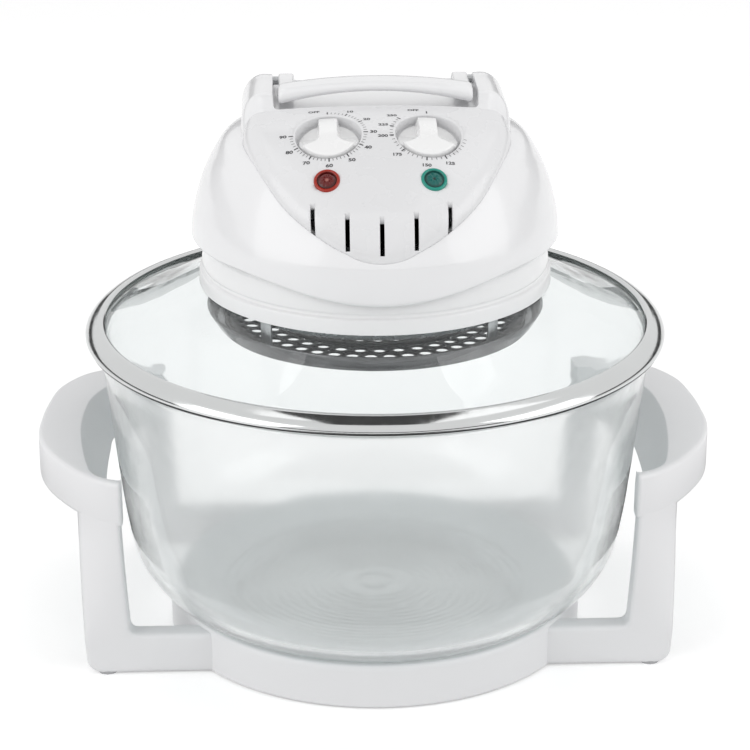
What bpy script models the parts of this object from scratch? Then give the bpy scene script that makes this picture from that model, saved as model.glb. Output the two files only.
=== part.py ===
"""Halogen oven: a glass bowl in a two-grip stand, and a lift-off glass lid that carries the heater head.

Metres, +Z up. The origin is on the floor under the bowl's axis, and the controls face -Y.
"""

import math

import bmesh
import bpy
from mathutils import Matrix, Vector

# Clearances and cuts
GAP = 0.0003
RUN_GAP = 0.0004
OVERRUN = 0.004
ROUND_STEPS = 48
SMALL_STEPS = 18
TINY_STEPS = 10

# Bowl
LID_RADIUS = 0.168
LID_OVERHANG = 0.008
BOWL_RADIUS = LID_RADIUS - LID_OVERHANG
BOWL_HEIGHT = 0.1654
BOWL_WALL = 0.005

# Stand ring and feet
RING_INSET = 0.037
RING_RADIUS = BOWL_RADIUS - RING_INSET
RING_SEAT_WIDTH = 0.034
RING_BORE_RADIUS = RING_RADIUS - RING_SEAT_WIDTH
RING_SEAT_Z = 0.018
RING_WALL = 0.003
FOOT_HEIGHT = 0.0008
FOOT_RADIUS = 0.006
FOOT_RECESS = 0.0012

# Stand brackets
ARM_TOP_Z = 0.025
LEG_WIDTH = 0.016
LEG_CORNER = 0.008
FRONT_LEG_INSET = 0.091
LEG_FRONT_Y = FRONT_LEG_INSET - BOWL_RADIUS
REAR_LEG_INSET = 0.059
REAR_LEG_Y = BOWL_RADIUS - REAR_LEG_INSET
FRONT_POST_INSET = 0.017
FRONT_POST_INNER_X = BOWL_RADIUS - FRONT_POST_INSET
FRONT_POST_WIDTH = 0.023
FRONT_POST_OUTER_X = FRONT_POST_INNER_X + FRONT_POST_WIDTH
REAR_POST_INSET = 0.032
REAR_POST_INNER_X = BOWL_RADIUS - REAR_POST_INSET
REAR_POST_WIDTH = 0.022
REAR_POST_OUTER_X = REAR_POST_INNER_X + REAR_POST_WIDTH
POST_LEAN_X = 0.004
TAB_WIDTH = 0.010
TAB_HEIGHT = 0.006
TAB_Z = 0.007
TAB_LENGTH = 0.009
GRIP_STANDOFF = 0.039
GRIP_OUTER_X = BOWL_RADIUS + GRIP_STANDOFF
GRIP_OVERLENGTH = 0.020
GRIP_LENGTH = REAR_LEG_Y - LEG_FRONT_Y + GRIP_OVERLENGTH
GRIP_TOP_Z = 0.120
GRIP_HEIGHT = 0.027
COVE_DEPTH = 0.011

# Lid glass and its rim
RIM_HEIGHT = 0.0105
RIM_DEPTH = 0.0114
RIM_SHEET = 0.001
LID_GLASS = 0.005
LID_RISE = 0.0364
LID_EDGE_INSET = 0.0035
SEAL_THICKNESS = 0.0012
SEAL_WIDTH = 0.006
SEAL_INSET = 0.0045

# Heights that the pieces over the bowl are set from
BOWL_BASE_Z = RING_SEAT_Z + GAP
BOWL_TOP_Z = BOWL_BASE_Z + BOWL_HEIGHT
RIM_BASE_Z = BOWL_TOP_Z + GAP
CROWN_Z = RIM_BASE_Z + LID_RISE
SEAL_Z = RIM_BASE_Z + RIM_SHEET + GAP
LID_SEAT_Z = SEAL_Z + SEAL_THICKNESS + GAP

# Head housings
HEAD_RADIUS = 0.1052
LID_HOLE_INSET = 0.0152
LID_HOLE_RADIUS = HEAD_RADIUS - LID_HOLE_INSET
LID_GLASS_RADIUS = LID_RADIUS - LID_EDGE_INSET
COLLAR_HEIGHT = 0.0265
COLLAR_TOP_Z = CROWN_Z + COLLAR_HEIGHT
COLLAR_WALL = 0.0032
COLLAR_FOOT_INSET = 0.0038
HOUSING_WALL = 0.003
SKIRT_LAP = 0.0014
SKIRT_Z = COLLAR_TOP_Z - SKIRT_LAP
SKIRT_DIP_HEIGHT = 0.0110
SKIRT_DIP_ANGLE = math.radians(52)
FRONT_FLAT_SHARE = 0.06
FLAT_RISE_SHARE = 0.6
DOME_HEIGHT = 0.0675
FLANGE_WIDTH = 0.009
FLANGE_Z = COLLAR_TOP_Z + GAP

# Control panel and rear panel
PANEL_WALL = 0.003
PANEL_BORDER = 0.003
PANEL_TOP_Y = -0.019
PANEL_OVERTOP = 0.0098
PANEL_TOP_Z = SKIRT_Z + DOME_HEIGHT + PANEL_OVERTOP
PANEL_TIP_INSET = 0.0026
PANEL_LENGTH = HEAD_RADIUS - PANEL_TIP_INSET + PANEL_TOP_Y
PANEL_TIP_LIFT = 0.0115
PANEL_HEIGHT = PANEL_TOP_Z - SKIRT_Z - PANEL_TIP_LIFT
PANEL_SIDE_INSET = 0.0337
PANEL_HALF_WIDTH = HEAD_RADIUS - PANEL_SIDE_INSET
PANEL_CUT_HEIGHT = 0.030
PANEL_INNER_SHARE = 0.6
WINDOW_REACH_SHARE = 0.4
REAR_STEP = 0.0068
REAR_TOP_Z = PANEL_TOP_Z - REAR_STEP
REAR_HEIGHT = 0.035

# Saddle that carries the handle
SADDLE_BACK_Y = 0.050
SADDLE_MARGIN = 0.004
SADDLE_HALF_WIDTH = PANEL_HALF_WIDTH + SADDLE_MARGIN
RECESS_DEPTH = 0.0048
RECESS_FLOOR_Z = PANEL_TOP_Z - RECESS_DEPTH
SADDLE_HEIGHT = 0.026
SADDLE_FOOT_Z = RECESS_FLOOR_Z - SADDLE_HEIGHT
EAR_HEIGHT = 0.0165
EAR_TOP_Z = RECESS_FLOOR_Z + EAR_HEIGHT
EAR_SHOULDER = 0.0095
EAR_SHOULDER_SHARES = (0.25, 0.35)
EAR_FALL_SHARE = 2.4
EAR_WIDTH = 0.0185
RECESS_HALF_WIDTH = SADDLE_HALF_WIDTH - EAR_WIDTH
SADDLE_LIP = 0.0035
RECESS_FRONT_Y = PANEL_TOP_Y + SADDLE_LIP
SADDLE_BACK_WALL = 0.004
RECESS_BACK_Y = SADDLE_BACK_Y - SADDLE_BACK_WALL
SADDLE_WALL = 0.003
SADDLE_SIDE_WALL = 0.0045
REAR_TIP_INSET = 0.0064
REAR_LENGTH = HEAD_RADIUS - REAR_TIP_INSET - SADDLE_BACK_Y - GAP

# Handle
HANDLE_CLEARANCE = 0.004
HANDLE_HALF_LENGTH = RECESS_HALF_WIDTH - HANDLE_CLEARANCE
HANDLE_SETBACK = 0.0115
HANDLE_Y = RECESS_FRONT_Y + HANDLE_SETBACK
HANDLE_RISE = 0.0198
HANDLE_TOP_Z = RECESS_FLOOR_Z + HANDLE_RISE
HANDLE_DEPTH = 0.024
HANDLE_THICKNESS = 0.0105
HANDLE_ARCH = 0.0055
PIVOT_INSET = 0.016
PIVOT_Y = SADDLE_BACK_Y - PIVOT_INSET
PIVOT_RISE = 0.006
PIVOT_Z = RECESS_FLOOR_Z + PIVOT_RISE
HUB_RADIUS = 0.0072
ARM_THICKNESS = 0.008
ARM_SLOT_MARGIN = 0.0015
ARM_SLOT_INNER_X = HANDLE_HALF_LENGTH - ARM_THICKNESS - ARM_SLOT_MARGIN
ARM_SLOT_OUTER_X = HANDLE_HALF_LENGTH + ARM_SLOT_MARGIN
ARM_SLOT_FRONT_Y = PIVOT_Y - HUB_RADIUS - OVERRUN - SADDLE_WALL / 4
ARM_SLOT_BACK_Y = PIVOT_Y + HUB_RADIUS + ARM_SLOT_MARGIN
PIN_RADIUS = 0.0025
PIN_BITE = 0.009
CAM_RADIUS = 0.0104
CAM_TRAVEL = 0.003
CAM_SWEEP = math.radians(75)
CAM_WIDTH = 0.004
CAM_POINTS = 12
CAM_START_SHARE = -0.2
CAM_OVER_SHARE = 0.08
ARM_ROOT_SHARE = 1.9
ARM_TIP_SHARE = 0.4
ARM_TIP_RISE_SHARE = 0.8
ARM_UNDER_SHARE = 0.55
TIP_GAP = 0.0005

# Safety switch under the saddle
SWITCH_INSET = 0.005
SWITCH_X = HANDLE_HALF_LENGTH - SWITCH_INSET
SWITCH_LENGTH = 0.016
SWITCH_INNER_WIDTH = 0.010
SWITCH_OUTER_WIDTH = 0.005
SWITCH_INNER_X = SWITCH_X - SWITCH_INNER_WIDTH
SWITCH_OUTER_X = SWITCH_X + SWITCH_OUTER_WIDTH
SWITCH_DEPTH = 0.009
SWITCH_TOP_Z = RECESS_FLOOR_Z - SWITCH_DEPTH
SWITCH_HEIGHT = 0.013
PLUNGER_RADIUS = 0.0010
PLUNGER_LENGTH = 0.011

# Controls on the panel
KNOB_X = 0.0275
KNOB_Y = -0.0465
KNOB_RADIUS = 0.017
KNOB_DISC = 0.0035
KNOB_BAR_HEIGHT = 0.0065
WELL_RADIUS = KNOB_RADIUS + 4 * GAP
WELL_DEPTH = 0.009
WELL_WALL = 0.0022
WELL_START = 0.002
WELL_SIDES = 28
WELL_ROOM_MARGIN = 0.0225
WELL_ROOM_HALF_WIDTH = KNOB_X + WELL_ROOM_MARGIN
WELL_ROOM_FRONT_Y = KNOB_Y - WELL_ROOM_MARGIN - SADDLE_WALL
WELL_ROOM_DEPTH = 0.0388
WELL_ROOM_FOOT_Z = PANEL_TOP_Z - WELL_ROOM_DEPTH
SHAFT_RADIUS = 0.003
SHAFT_BITE = 0.006
TIMER_SIDE = 0.036
TIMER_HEIGHT = 0.020
THERMOSTAT_RADIUS = 0.0165
THERMOSTAT_HEIGHT = 0.022
LAMP_X = 0.029
LAMP_Y = -0.076
LAMP_RADIUS = 0.00725
LAMP_STEM_RADIUS = 0.0058
LAMP_STEM_LENGTH = 0.009
LAMP_DOME = 0.0026
LAMP_FLANGE = 0.0012
LENS_LIFT = 0.00045
NEON_RADIUS = 0.0028
NEON_LENGTH = 0.011
SLOT_WIDTH = 0.0025
SLOT_LENGTH = 0.022
SLOT_PITCH = 0.0186
SLOT_TIP_INSET = 0.0044
SLOT_Y = PANEL_TOP_Y - PANEL_LENGTH + SLOT_TIP_INSET
SLOT_STEP_BACK = 0.00125
SLOTS_EACH_SIDE = 2
SLOT_DEPTH = 0.006
REAR_SLOT_INSET = 0.0108
REAR_SLOT_Y = HEAD_RADIUS - REAR_TIP_INSET - REAR_SLOT_INSET
REAR_SLOT_LENGTH = 0.018

# Heater under the lid
PLATE_SHEET = 0.0012
PLATE_LIFT = 0.0012
PLATE_Z = CROWN_Z + PLATE_LIFT
PLATE_TOP_Z = PLATE_Z + PLATE_SHEET
PLATE_RIM_INSET = 0.0097
PLATE_RIM_RADIUS = HEAD_RADIUS - PLATE_RIM_INSET
PLATE_RIM_WIDTH = 0.003
REFLECTOR_INSET = 0.0032
REFLECTOR_RADIUS = LID_HOLE_RADIUS - REFLECTOR_INSET
REFLECTOR_DEPTH = 0.0135
SHAFT_HOLE_RADIUS = 0.006
LAMP_INSET = 0.0208
LAMP_RING_RADIUS = REFLECTOR_RADIUS - LAMP_INSET
TUBE_RADIUS = 0.005
TUBE_DEPTH = 0.0141
TUBE_Z = PLATE_Z - TUBE_DEPTH
TUBE_GAP_ANGLE = math.radians(24)
TUBE_POINTS = 28
SOCKET_WIDTH = 0.013
SOCKET_DEPTH_SHARE = 0.7
SOCKET_TOP_DROP = 0.0042
GUARD_RING_INSET = 0.0092
GUARD_RING_TOP_RADIUS = HEAD_RADIUS - GUARD_RING_INSET
GUARD_RING_TAPER = 0.005
GUARD_RING_FOOT_RADIUS = GUARD_RING_TOP_RADIUS - GUARD_RING_TAPER
GUARD_RING_DEPTH = 0.022
GUARD_RING_TOP_Z = PLATE_Z - GUARD_RING_DEPTH
GUARD_RING_HEIGHT = 0.0092
GUARD_RING_FOOT_Z = GUARD_RING_TOP_Z - GUARD_RING_HEIGHT
GUARD_LIP = 0.006
GUARD_SHEET = 0.001
GUARD_PLATE_INSET = 0.0044
GUARD_PLATE_RADIUS = GUARD_RING_FOOT_RADIUS - GUARD_PLATE_INSET
HOLE_SIDES = 6
HOLE_RADIUS = 0.0042
HANGER_WIDTH = 0.008
HANGER_INSET = 0.0018
HANGER_RADIUS = LID_HOLE_RADIUS - HANGER_INSET
HANGER_ANGLE = math.radians(45)

# Motor and fans
MOTOR_SHAFT_RADIUS = 0.0025
HOT_FAN_INSET = 0.022
HOT_FAN_RADIUS = LAMP_RING_RADIUS - HOT_FAN_INSET
HOT_FAN_DEPTH = 0.0171
HOT_FAN_Z = PLATE_Z - HOT_FAN_DEPTH
HOT_FAN_HEIGHT = 0.012
COOL_FAN_RADIUS = 0.033
COOL_FAN_LIFT = 0.0037
COOL_FAN_Z = PLATE_TOP_Z + COOL_FAN_LIFT
COOL_FAN_HEIGHT = 0.0085
HUB_FAN_RADIUS = 0.007
BLADE_SHEET = 0.001
FAN_ROOT_SHARE = 0.6
FAN_TIP_SHARE = 0.97
BRACKET_HALF_WIDTH = 0.040
BRACKET_DEPTH = 0.016
BRACKET_CLEARANCE = 0.006
BRACKET_TOP_Z = COOL_FAN_Z + COOL_FAN_HEIGHT + BRACKET_CLEARANCE
BRACKET_SHEET = 0.0015
STACK_WIDTH = 0.056
STACK_DEPTH = 0.046
STACK_HEIGHT = 0.016
BORE_RADIUS = 0.013
COIL_WIDTH = 0.034
COIL_DEPTH = 0.014
COIL_HEIGHT = 0.026
SHAFT_FOOT_LENGTH = 0.005
SHAFT_FOOT_Z = HOT_FAN_Z - SHAFT_FOOT_LENGTH
SHAFT_TOP_LENGTH = 0.0067
SHAFT_TOP_Z = BRACKET_TOP_Z + BRACKET_SHEET + GAP + STACK_HEIGHT + SHAFT_TOP_LENGTH
TERMINAL_WIDTH = 0.040
TERMINAL_DEPTH = 0.014
TERMINAL_HEIGHT = 0.012
TERMINAL_INSET = 0.0392
TERMINAL_Y = HEAD_RADIUS - TERMINAL_INSET

# Power inlet at the back
INLET_LIFT = 0.0165
INLET_Z = SKIRT_Z + INLET_LIFT
INLET_WIDTH = 0.028
INLET_HEIGHT = 0.020
INLET_FLANGE = 0.0045
INLET_FLANGE_SHEET = 0.0025
INLET_DEPTH = 0.021
INLET_PROUD = 0.0013
INLET_FACE_Y = HEAD_RADIUS + INLET_PROUD
SOCKET_WALL = 0.002
SOCKET_DEPTH = 0.0185
BLADE_LENGTH = 0.0125
BLADE_WIDTH = 0.002
BLADE_TALL = 0.004
BLADE_PITCH = 0.0075
BOSS_MARGIN = 0.008
BOSS_TALL_SHARE = 0.6
BOSS_DEPTH = 0.022

# Housing screws
SCREW_INSET = 0.0106
SCREW_CIRCLE = HEAD_RADIUS - SCREW_INSET
SCREW_RADIUS = 0.0012
SCREW_HEAD_RADIUS = 0.0024
SCREW_HEAD = 0.0016
SCREW_LENGTH = 0.006
SCREW_ANGLES = (35, 145, 215, 325)

# Outline shares: radius share and height share, from top to bottom
BOWL_OUTER_SHARES = [
    (1.0, 1.0), (0.988, 0.89), (0.964, 0.675), (0.944, 0.506), (0.9225, 0.349), (0.8875, 0.204),
    (0.8406, 0.131), (0.778, 0.077), (0.706, 0.0345), (0.631, 0.007), (0.581, 0.0), (0.0, 0.0),
]
LID_TOP_SHARES = [
    (0.0, 1.0), (0.1477, 0.885), (0.3354, 0.709), (0.510, 0.538), (0.671, 0.390), (0.8055, 0.283),
    (0.9028, 0.215), (1.0, 0.181),
]
RIM_SHARES = [
    (1.0, 0.914), (0.72, 1.0), (0.25, 0.93), (0.0, 0.610), (0.0, 0.30), (0.21, 0.03), (1.0, 0.0),
]
COLLAR_SHARES = [(0.909, 1.0), (0.935, 0.755), (0.947, 0.44), (0.941, 0.352), (0.959, 0.32)]
COLLAR_FOOT_RADIUS_SHARE = 0.964
DOME_SHARES = [
    (0.560, 1.0), (0.646, 0.970), (0.722, 0.911), (0.808, 0.830), (0.879, 0.668), (0.932, 0.496),
    (0.965, 0.333), (0.992, 0.148), (1.0, 0.0),
]
# Panel rows: distance down the front, drop, lean in turns of 90 degrees, half width, bow radius, border
PANEL_ROW_SHARES = [
    (0.0, 0.0, 0.0, 0.993, 9.8, 0.1976),
    (0.132, 0.033, 0.09, 1.0, 8.4, 0.1976),
    (0.323, 0.106, 0.22, 0.965, 5.9, 0.152),
    (0.490, 0.216, 0.33, 0.895, 4.6, 0.0912),
    (0.646, 0.339, 0.44, 0.811, 3.65, 0.0684),
    (0.778, 0.480, 0.51, 0.706, 2.8, 0.0608),
    (0.891, 0.622, 0.62, 0.573, 2.1, 0.0684),
    (0.957, 0.784, 0.73, 0.392, 1.62, 0.0608),
    (0.988, 0.900, 0.86, 0.196, 1.4, 0.0532),
    (1.0, 0.957, 0.93, 0.063, 1.4, 0.0456),
    (0.981, 1.0, 0.95, 0.035, 1.4, 0.0228),
]
PANEL_COLUMN_SHARES = [0.0, 0.28, 0.55, 0.8, 1.0]
SADDLE_STATION_SHARES = [
    (0.0, -0.36, -0.28), (0.07, -0.25, -0.25), (0.18, -0.07, -0.1), (0.36, 0.0, 0.0), (0.62, 0.0, 0.0),
    (0.83, -0.18, -0.25), (1.0, -0.42, -0.44),
]
GRIP_OUTER_SHARES = [
    (0.729, -0.40), (0.79, -0.366), (0.859, -0.292), (0.92, -0.20), (0.975, -0.09), (1.0, 0.03),
    (1.0, 0.15), (0.99, 0.27), (0.955, 0.43), (0.864, 0.56), (0.754, 0.592), (0.643, 0.592),
]
GRIP_INNER_SHARES = [
    (0.643, 0.482), (0.734, 0.47), (0.804, 0.418), (0.859, 0.30), (0.869, 0.155), (0.866, 0.075),
    (0.856, -0.05), (0.844, -0.16), (0.824, -0.25), (0.785, -0.303), (0.755, -0.312), (0.729, -0.312),
]
GRIP_LEVEL_SHARES = [(1.0, 1.0, 0.0), (0.65, 0.35, 0.0), (0.08, 0.0, 0.0), (0.0, -0.1, 0.06)]
HOLE_CIRCLE_SHARES = [(0.9, 26), (0.68, 18)]
REFLECTOR_SHARES = [(0.714, 0.0), (0.922, 0.356), (1.0, 1.0)]
LENS_SHARES = [(0.0, 1.0), (0.5, 0.86), (0.78, 0.42), (0.84, 0.0), (1.0, -0.1)]
KNOB_BAR_SHARES = [
    (-0.25, 0.86), (0.25, 0.86), (0.26, -0.15), (0.34, -0.48), (0.56, -0.76), (0.25, -0.93), (-0.25, -0.93),
    (-0.56, -0.76), (-0.34, -0.48), (-0.26, -0.15),
]
HANDLE_SECTION_SHARES = [
    (-1.0, -0.35), (-0.98, 0.25), (-0.80, 0.72), (-0.40, 0.95), (0.10, 1.0), (0.60, 0.86), (0.95, 0.40),
    (1.0, -0.30), (0.80, -0.90), (-0.75, -0.90),
]
HANDLE_STATION_SHARES = [(-1.0, 0.86), (-0.96, 1.0), (-0.7, 1.0), (-0.35, 1.0), (0.0, 1.0), (0.35, 1.0),
                         (0.7, 1.0), (0.96, 1.0), (1.0, 0.86)]
WINDOW_SHARES = [(-0.62, -0.55), (0.62, -0.55), (0.50, -0.72), (0.30, -0.86), (0.12, -0.90), (-0.12, -0.90),
                 (-0.30, -0.86), (-0.50, -0.72)]

# Places and views used by several pieces
LEG_PLACES = {"front": LEG_FRONT_Y, "rear": REAR_LEG_Y}
FOOT_PLACES = {
    "front": (FRONT_POST_OUTER_X - LEG_CORNER, LEG_FRONT_Y),
    "rear": (REAR_POST_OUTER_X - LEG_CORNER, REAR_LEG_Y),
}
SIDE_VIEW = Matrix(((0, 0, 1, 0), (1, 0, 0, 0), (0, 1, 0, 0), (0, 0, 0, 1)))

MATERIALS = {
    "stand_plastic": ((0.80, 0.80, 0.81, 1.0), 0.42, 0.0),
    "head_plastic": ((0.84, 0.84, 0.85, 1.0), 0.22, 0.0),
    "panel_plastic": ((0.78, 0.78, 0.80, 1.0), 0.30, 0.0),
    "knob_plastic": ((0.88, 0.88, 0.88, 1.0), 0.28, 0.0),
    "clear_glass": ((0.86, 0.91, 0.91, 0.35), 0.03, 0.0),
    "quartz_glass": ((0.55, 0.52, 0.50, 0.8), 0.06, 0.0),
    "red_lens": ((0.60, 0.05, 0.03, 1.0), 0.12, 0.0),
    "green_lens": ((0.04, 0.40, 0.33, 1.0), 0.12, 0.0),
    "chrome_steel": ((0.80, 0.80, 0.81, 1.0), 0.08, 1.0),
    "dark_steel": ((0.16, 0.16, 0.17, 1.0), 0.35, 0.9),
    "zinc_steel": ((0.58, 0.59, 0.60, 1.0), 0.38, 1.0),
    "spun_aluminium": ((0.70, 0.71, 0.72, 1.0), 0.25, 1.0),
    "ceramic": ((0.85, 0.83, 0.78, 1.0), 0.6, 0.0),
    "white_silicone": ((0.82, 0.82, 0.80, 1.0), 0.7, 0.0),
    "black_plastic": ((0.03, 0.03, 0.03, 1.0), 0.45, 0.0),
    "copper_wire": ((0.62, 0.28, 0.12, 1.0), 0.35, 0.8),
    "rubber": ((0.25, 0.25, 0.26, 1.0), 0.85, 0.0),
}


def clear_scene():
    for old in list(bpy.data.objects):
        bpy.data.objects.remove(old, do_unlink=True)


def new_collection(name):
    made = bpy.data.collections.new(name)
    bpy.context.scene.collection.children.link(made)
    return made


clear_scene()
PARTS = new_collection("halogen_oven")
CUTTERS = new_collection("cutters")


def finish_of(name):
    """The Principled material of this name, made once from the table."""
    found = bpy.data.materials.get(name)
    if found:
        return found
    colour, roughness, metallic = MATERIALS[name]
    made = bpy.data.materials.new(name)
    made.use_nodes = True
    shader = made.node_tree.nodes["Principled BSDF"]
    shader.inputs["Base Color"].default_value = colour
    shader.inputs["Roughness"].default_value = roughness
    shader.inputs["Metallic"].default_value = metallic
    shader.inputs["Alpha"].default_value = colour[3]
    made.diffuse_color = colour
    return made


def add_object(name, data, material):
    """A new object of the part, or a cutter where no material is given."""
    made = bpy.data.objects.new(name, data)
    if material:
        PARTS.objects.link(made)
        data.materials.append(finish_of(material))
    else:
        CUTTERS.objects.link(made)
        made.hide_render = True
        made.display_type = "WIRE"
    return made


def from_bmesh(name, work, material=None, smooth=False):
    mesh = bpy.data.meshes.new(name)
    bmesh.ops.recalc_face_normals(work, faces=work.faces)
    work.to_mesh(mesh)
    work.free()
    if smooth:
        mesh.shade_smooth()
        mesh.set_sharp_from_angle(angle=math.radians(35))
    return add_object(name, mesh, material)


def box(name, low, high, material=None, bevel=0.0):
    """A box between two corners, with its edges rounded where a bevel is given."""
    low, high = Vector(low), Vector(high)
    work = bmesh.new()
    bmesh.ops.create_cube(work, size=1.0)
    size = high - low
    bmesh.ops.transform(work, matrix=Matrix.Diagonal((*size, 1.0)), verts=work.verts)
    made = from_bmesh(name, work, material)
    made.matrix_world = Matrix.Translation((low + high) / 2)
    if bevel:
        rounded(made, bevel)
    return made


def rounded(made, width, segments=2):
    edge = made.modifiers.new("rounded_edges", "BEVEL")
    edge.width = width
    edge.segments = segments
    edge.limit_method = "ANGLE"
    return edge


def rod(name, radius, start, end, material=None, sides=SMALL_STEPS, end_radius=None):
    """A cylinder or cone from one point to another."""
    start, end = Vector(start), Vector(end)
    work = bmesh.new()
    bmesh.ops.create_cone(
        work, cap_ends=True, segments=sides, radius1=radius,
        radius2=radius if end_radius is None else end_radius, depth=(end - start).length,
    )
    made = from_bmesh(name, work, material, smooth=True)
    turn = (end - start).to_track_quat("Z", "Y").to_matrix().to_4x4()
    made.matrix_world = Matrix.Translation((start + end) / 2) @ turn
    return made


def turned(name, profile, material=None, steps=ROUND_STEPS, closed=True):
    """A profile in the XZ plane, outer side from top to bottom, turned about Z."""
    mesh = bpy.data.meshes.new(name)
    count = len(profile)
    edges = [(i, i + 1) for i in range(count - 1)]
    if closed:
        edges.append((count - 1, 0))
    mesh.from_pydata([(r, 0.0, z) for r, z in profile], edges, [])
    made = add_object(name, mesh, material)
    lathe = made.modifiers.new("lathe", "SCREW")
    lathe.steps = steps
    lathe.render_steps = steps
    lathe.use_merge_vertices = True
    lathe.merge_threshold = 0.00001
    lathe.use_smooth_shade = True
    return made


def outline_plate(name, points, half_thickness, material=None, matrix=None):
    """A flat outline given in the XY plane, thickened both ways along Z, then placed."""
    curve = bpy.data.curves.new(name, "CURVE")
    curve.dimensions = "2D"
    curve.fill_mode = "BOTH"
    curve.extrude = half_thickness
    line = curve.splines.new("POLY")
    line.points.add(len(points) - 1)
    for point, (x, y) in zip(line.points, points):
        point.co = (x, y, 0.0, 1.0)
    line.use_cyclic_u = True
    made = add_object(name, curve, material)
    made.matrix_world = matrix or Matrix.Identity(4)
    return as_mesh(made, material)


def tube(name, points, radius, material):
    """A round tube along the points, with filled ends."""
    curve = bpy.data.curves.new(name, "CURVE")
    curve.dimensions = "3D"
    curve.bevel_depth = radius
    curve.bevel_resolution = 2
    curve.use_fill_caps = True
    line = curve.splines.new("POLY")
    line.points.add(len(points) - 1)
    for point, place in zip(line.points, points):
        point.co = (*place, 1.0)
    return add_object(name, curve, material)


def as_mesh(old, material=None):
    """The evaluated shape of an object as a plain mesh object of the same name and place."""
    bpy.context.view_layer.update()
    graph = bpy.context.evaluated_depsgraph_get()
    mesh = bpy.data.meshes.new_from_object(old.evaluated_get(graph))
    name, place = old.name, old.matrix_world.copy()
    bpy.data.objects.remove(old, do_unlink=True)
    work = bmesh.new()
    work.from_mesh(mesh)
    bmesh.ops.remove_doubles(work, verts=work.verts, dist=0.000001)
    bmesh.ops.recalc_face_normals(work, faces=work.faces)
    work.to_mesh(mesh)
    work.free()
    mesh.materials.clear()
    mesh.name = name
    made = add_object(name, mesh, material)
    made.matrix_world = place
    return made


def loft(name, rings, material=None, smooth=False):
    """A closed solid through closed rings of equal point counts, with both ends filled."""
    work = bmesh.new()
    made_rings = [[work.verts.new(point) for point in ring] for ring in rings]
    count = len(made_rings[0])
    for first, second in zip(made_rings, made_rings[1:]):
        for i in range(count):
            j = (i + 1) % count
            work.faces.new((first[i], first[j], second[j], second[i]))
    work.faces.new(list(reversed(made_rings[0])))
    work.faces.new(made_rings[-1])
    bmesh.ops.triangulate(work, faces=work.faces)
    return from_bmesh(name, work, material, smooth)


def cut(made, *cutters):
    for cutter in cutters:
        step = made.modifiers.new("cut_" + cutter.name, "BOOLEAN")
        step.operation = "DIFFERENCE"
        step.object = cutter
    return made


def join(made, *pieces):
    for piece in pieces:
        step = made.modifiers.new("join_" + piece.name, "BOOLEAN")
        step.operation = "UNION"
        step.object = piece
    return made


def put_origin(made, point):
    """Moves an object's origin to a point and leaves its shape where it is."""
    bpy.context.view_layer.update()
    local = made.matrix_world.inverted() @ Vector(point)
    made.data.transform(Matrix.Translation(-local))
    made.matrix_world = made.matrix_world @ Matrix.Translation(local)


def scaled(shares, radius, base, height):
    return [(r * radius, base + z * height) for r, z in shares]


def offset_path(path, distance):
    """The path moved to its inner side, with mitred corners."""
    normals = []
    for (r0, z0), (r1, z1) in zip(path, path[1:]):
        length = math.hypot(r1 - r0, z1 - z0)
        normals.append(((z0 - z1) / length, (r1 - r0) / length))
    moved = []
    for i, (r, z) in enumerate(path):
        a = normals[max(i - 1, 0)]
        b = normals[min(i, len(normals) - 1)]
        share = distance / (1 + a[0] * b[0] + a[1] * b[1])
        moved.append((r - (a[0] + b[0]) * share, z - (a[1] + b[1]) * share))
    return moved


def shell_profile(path, wall):
    return path + list(reversed(offset_path(path, wall)))


def height_on(path, radius):
    """The height of a path, which runs outwards, at this radius."""
    for (r0, z0), (r1, z1) in zip(path, path[1:]):
        if r0 <= radius <= r1:
            return z0 + (z1 - z0) * (radius - r0) / (r1 - r0)
    return path[-1][1] if radius > path[-1][0] else path[0][1]


def bowl_outer():
    return scaled(BOWL_OUTER_SHARES, BOWL_RADIUS, BOWL_BASE_Z, BOWL_HEIGHT)


def lid_top():
    width = LID_GLASS_RADIUS - LID_HOLE_RADIUS
    return [(LID_HOLE_RADIUS + r * width, RIM_BASE_Z + z * LID_RISE) for r, z in LID_TOP_SHARES]


def lid_top_z(radius):
    return height_on(lid_top(), radius)


def side_name(side):
    return "left" if side < 0 else "right"


# Stand

def make_base_ring():
    """A hollow moulded ring whose upper side is a seat for the bowl's rounded corner."""
    seat = [(r, z) for r, z in offset_path(bowl_outer(), -GAP) if RING_BORE_RADIUS < r < RING_RADIUS - RING_WALL]
    land_r = RING_RADIUS - RING_WALL / 2
    land_z = height_on(list(reversed(bowl_outer())), land_r) - 2 * GAP
    outer = [(RING_BORE_RADIUS, RING_SEAT_Z)] + list(reversed(seat))
    outer += [(land_r, land_z), (RING_RADIUS, land_z - RING_WALL / 2), (RING_RADIUS, FOOT_HEIGHT)]
    ring = turned("base_ring", shell_profile(outer, RING_WALL), "stand_plastic")
    for side in (-1, 1):
        for where, y in LEG_PLACES.items():
            low = (min(0.0, side * RING_RADIUS), y - TAB_WIDTH / 2 - GAP, TAB_Z - GAP)
            high = (max(0.0, side * RING_RADIUS), y + TAB_WIDTH / 2 + GAP, TAB_Z + TAB_HEIGHT + GAP)
            cut(ring, box(f"tab_slot_{where}_{side_name(side)}", low, high))


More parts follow.
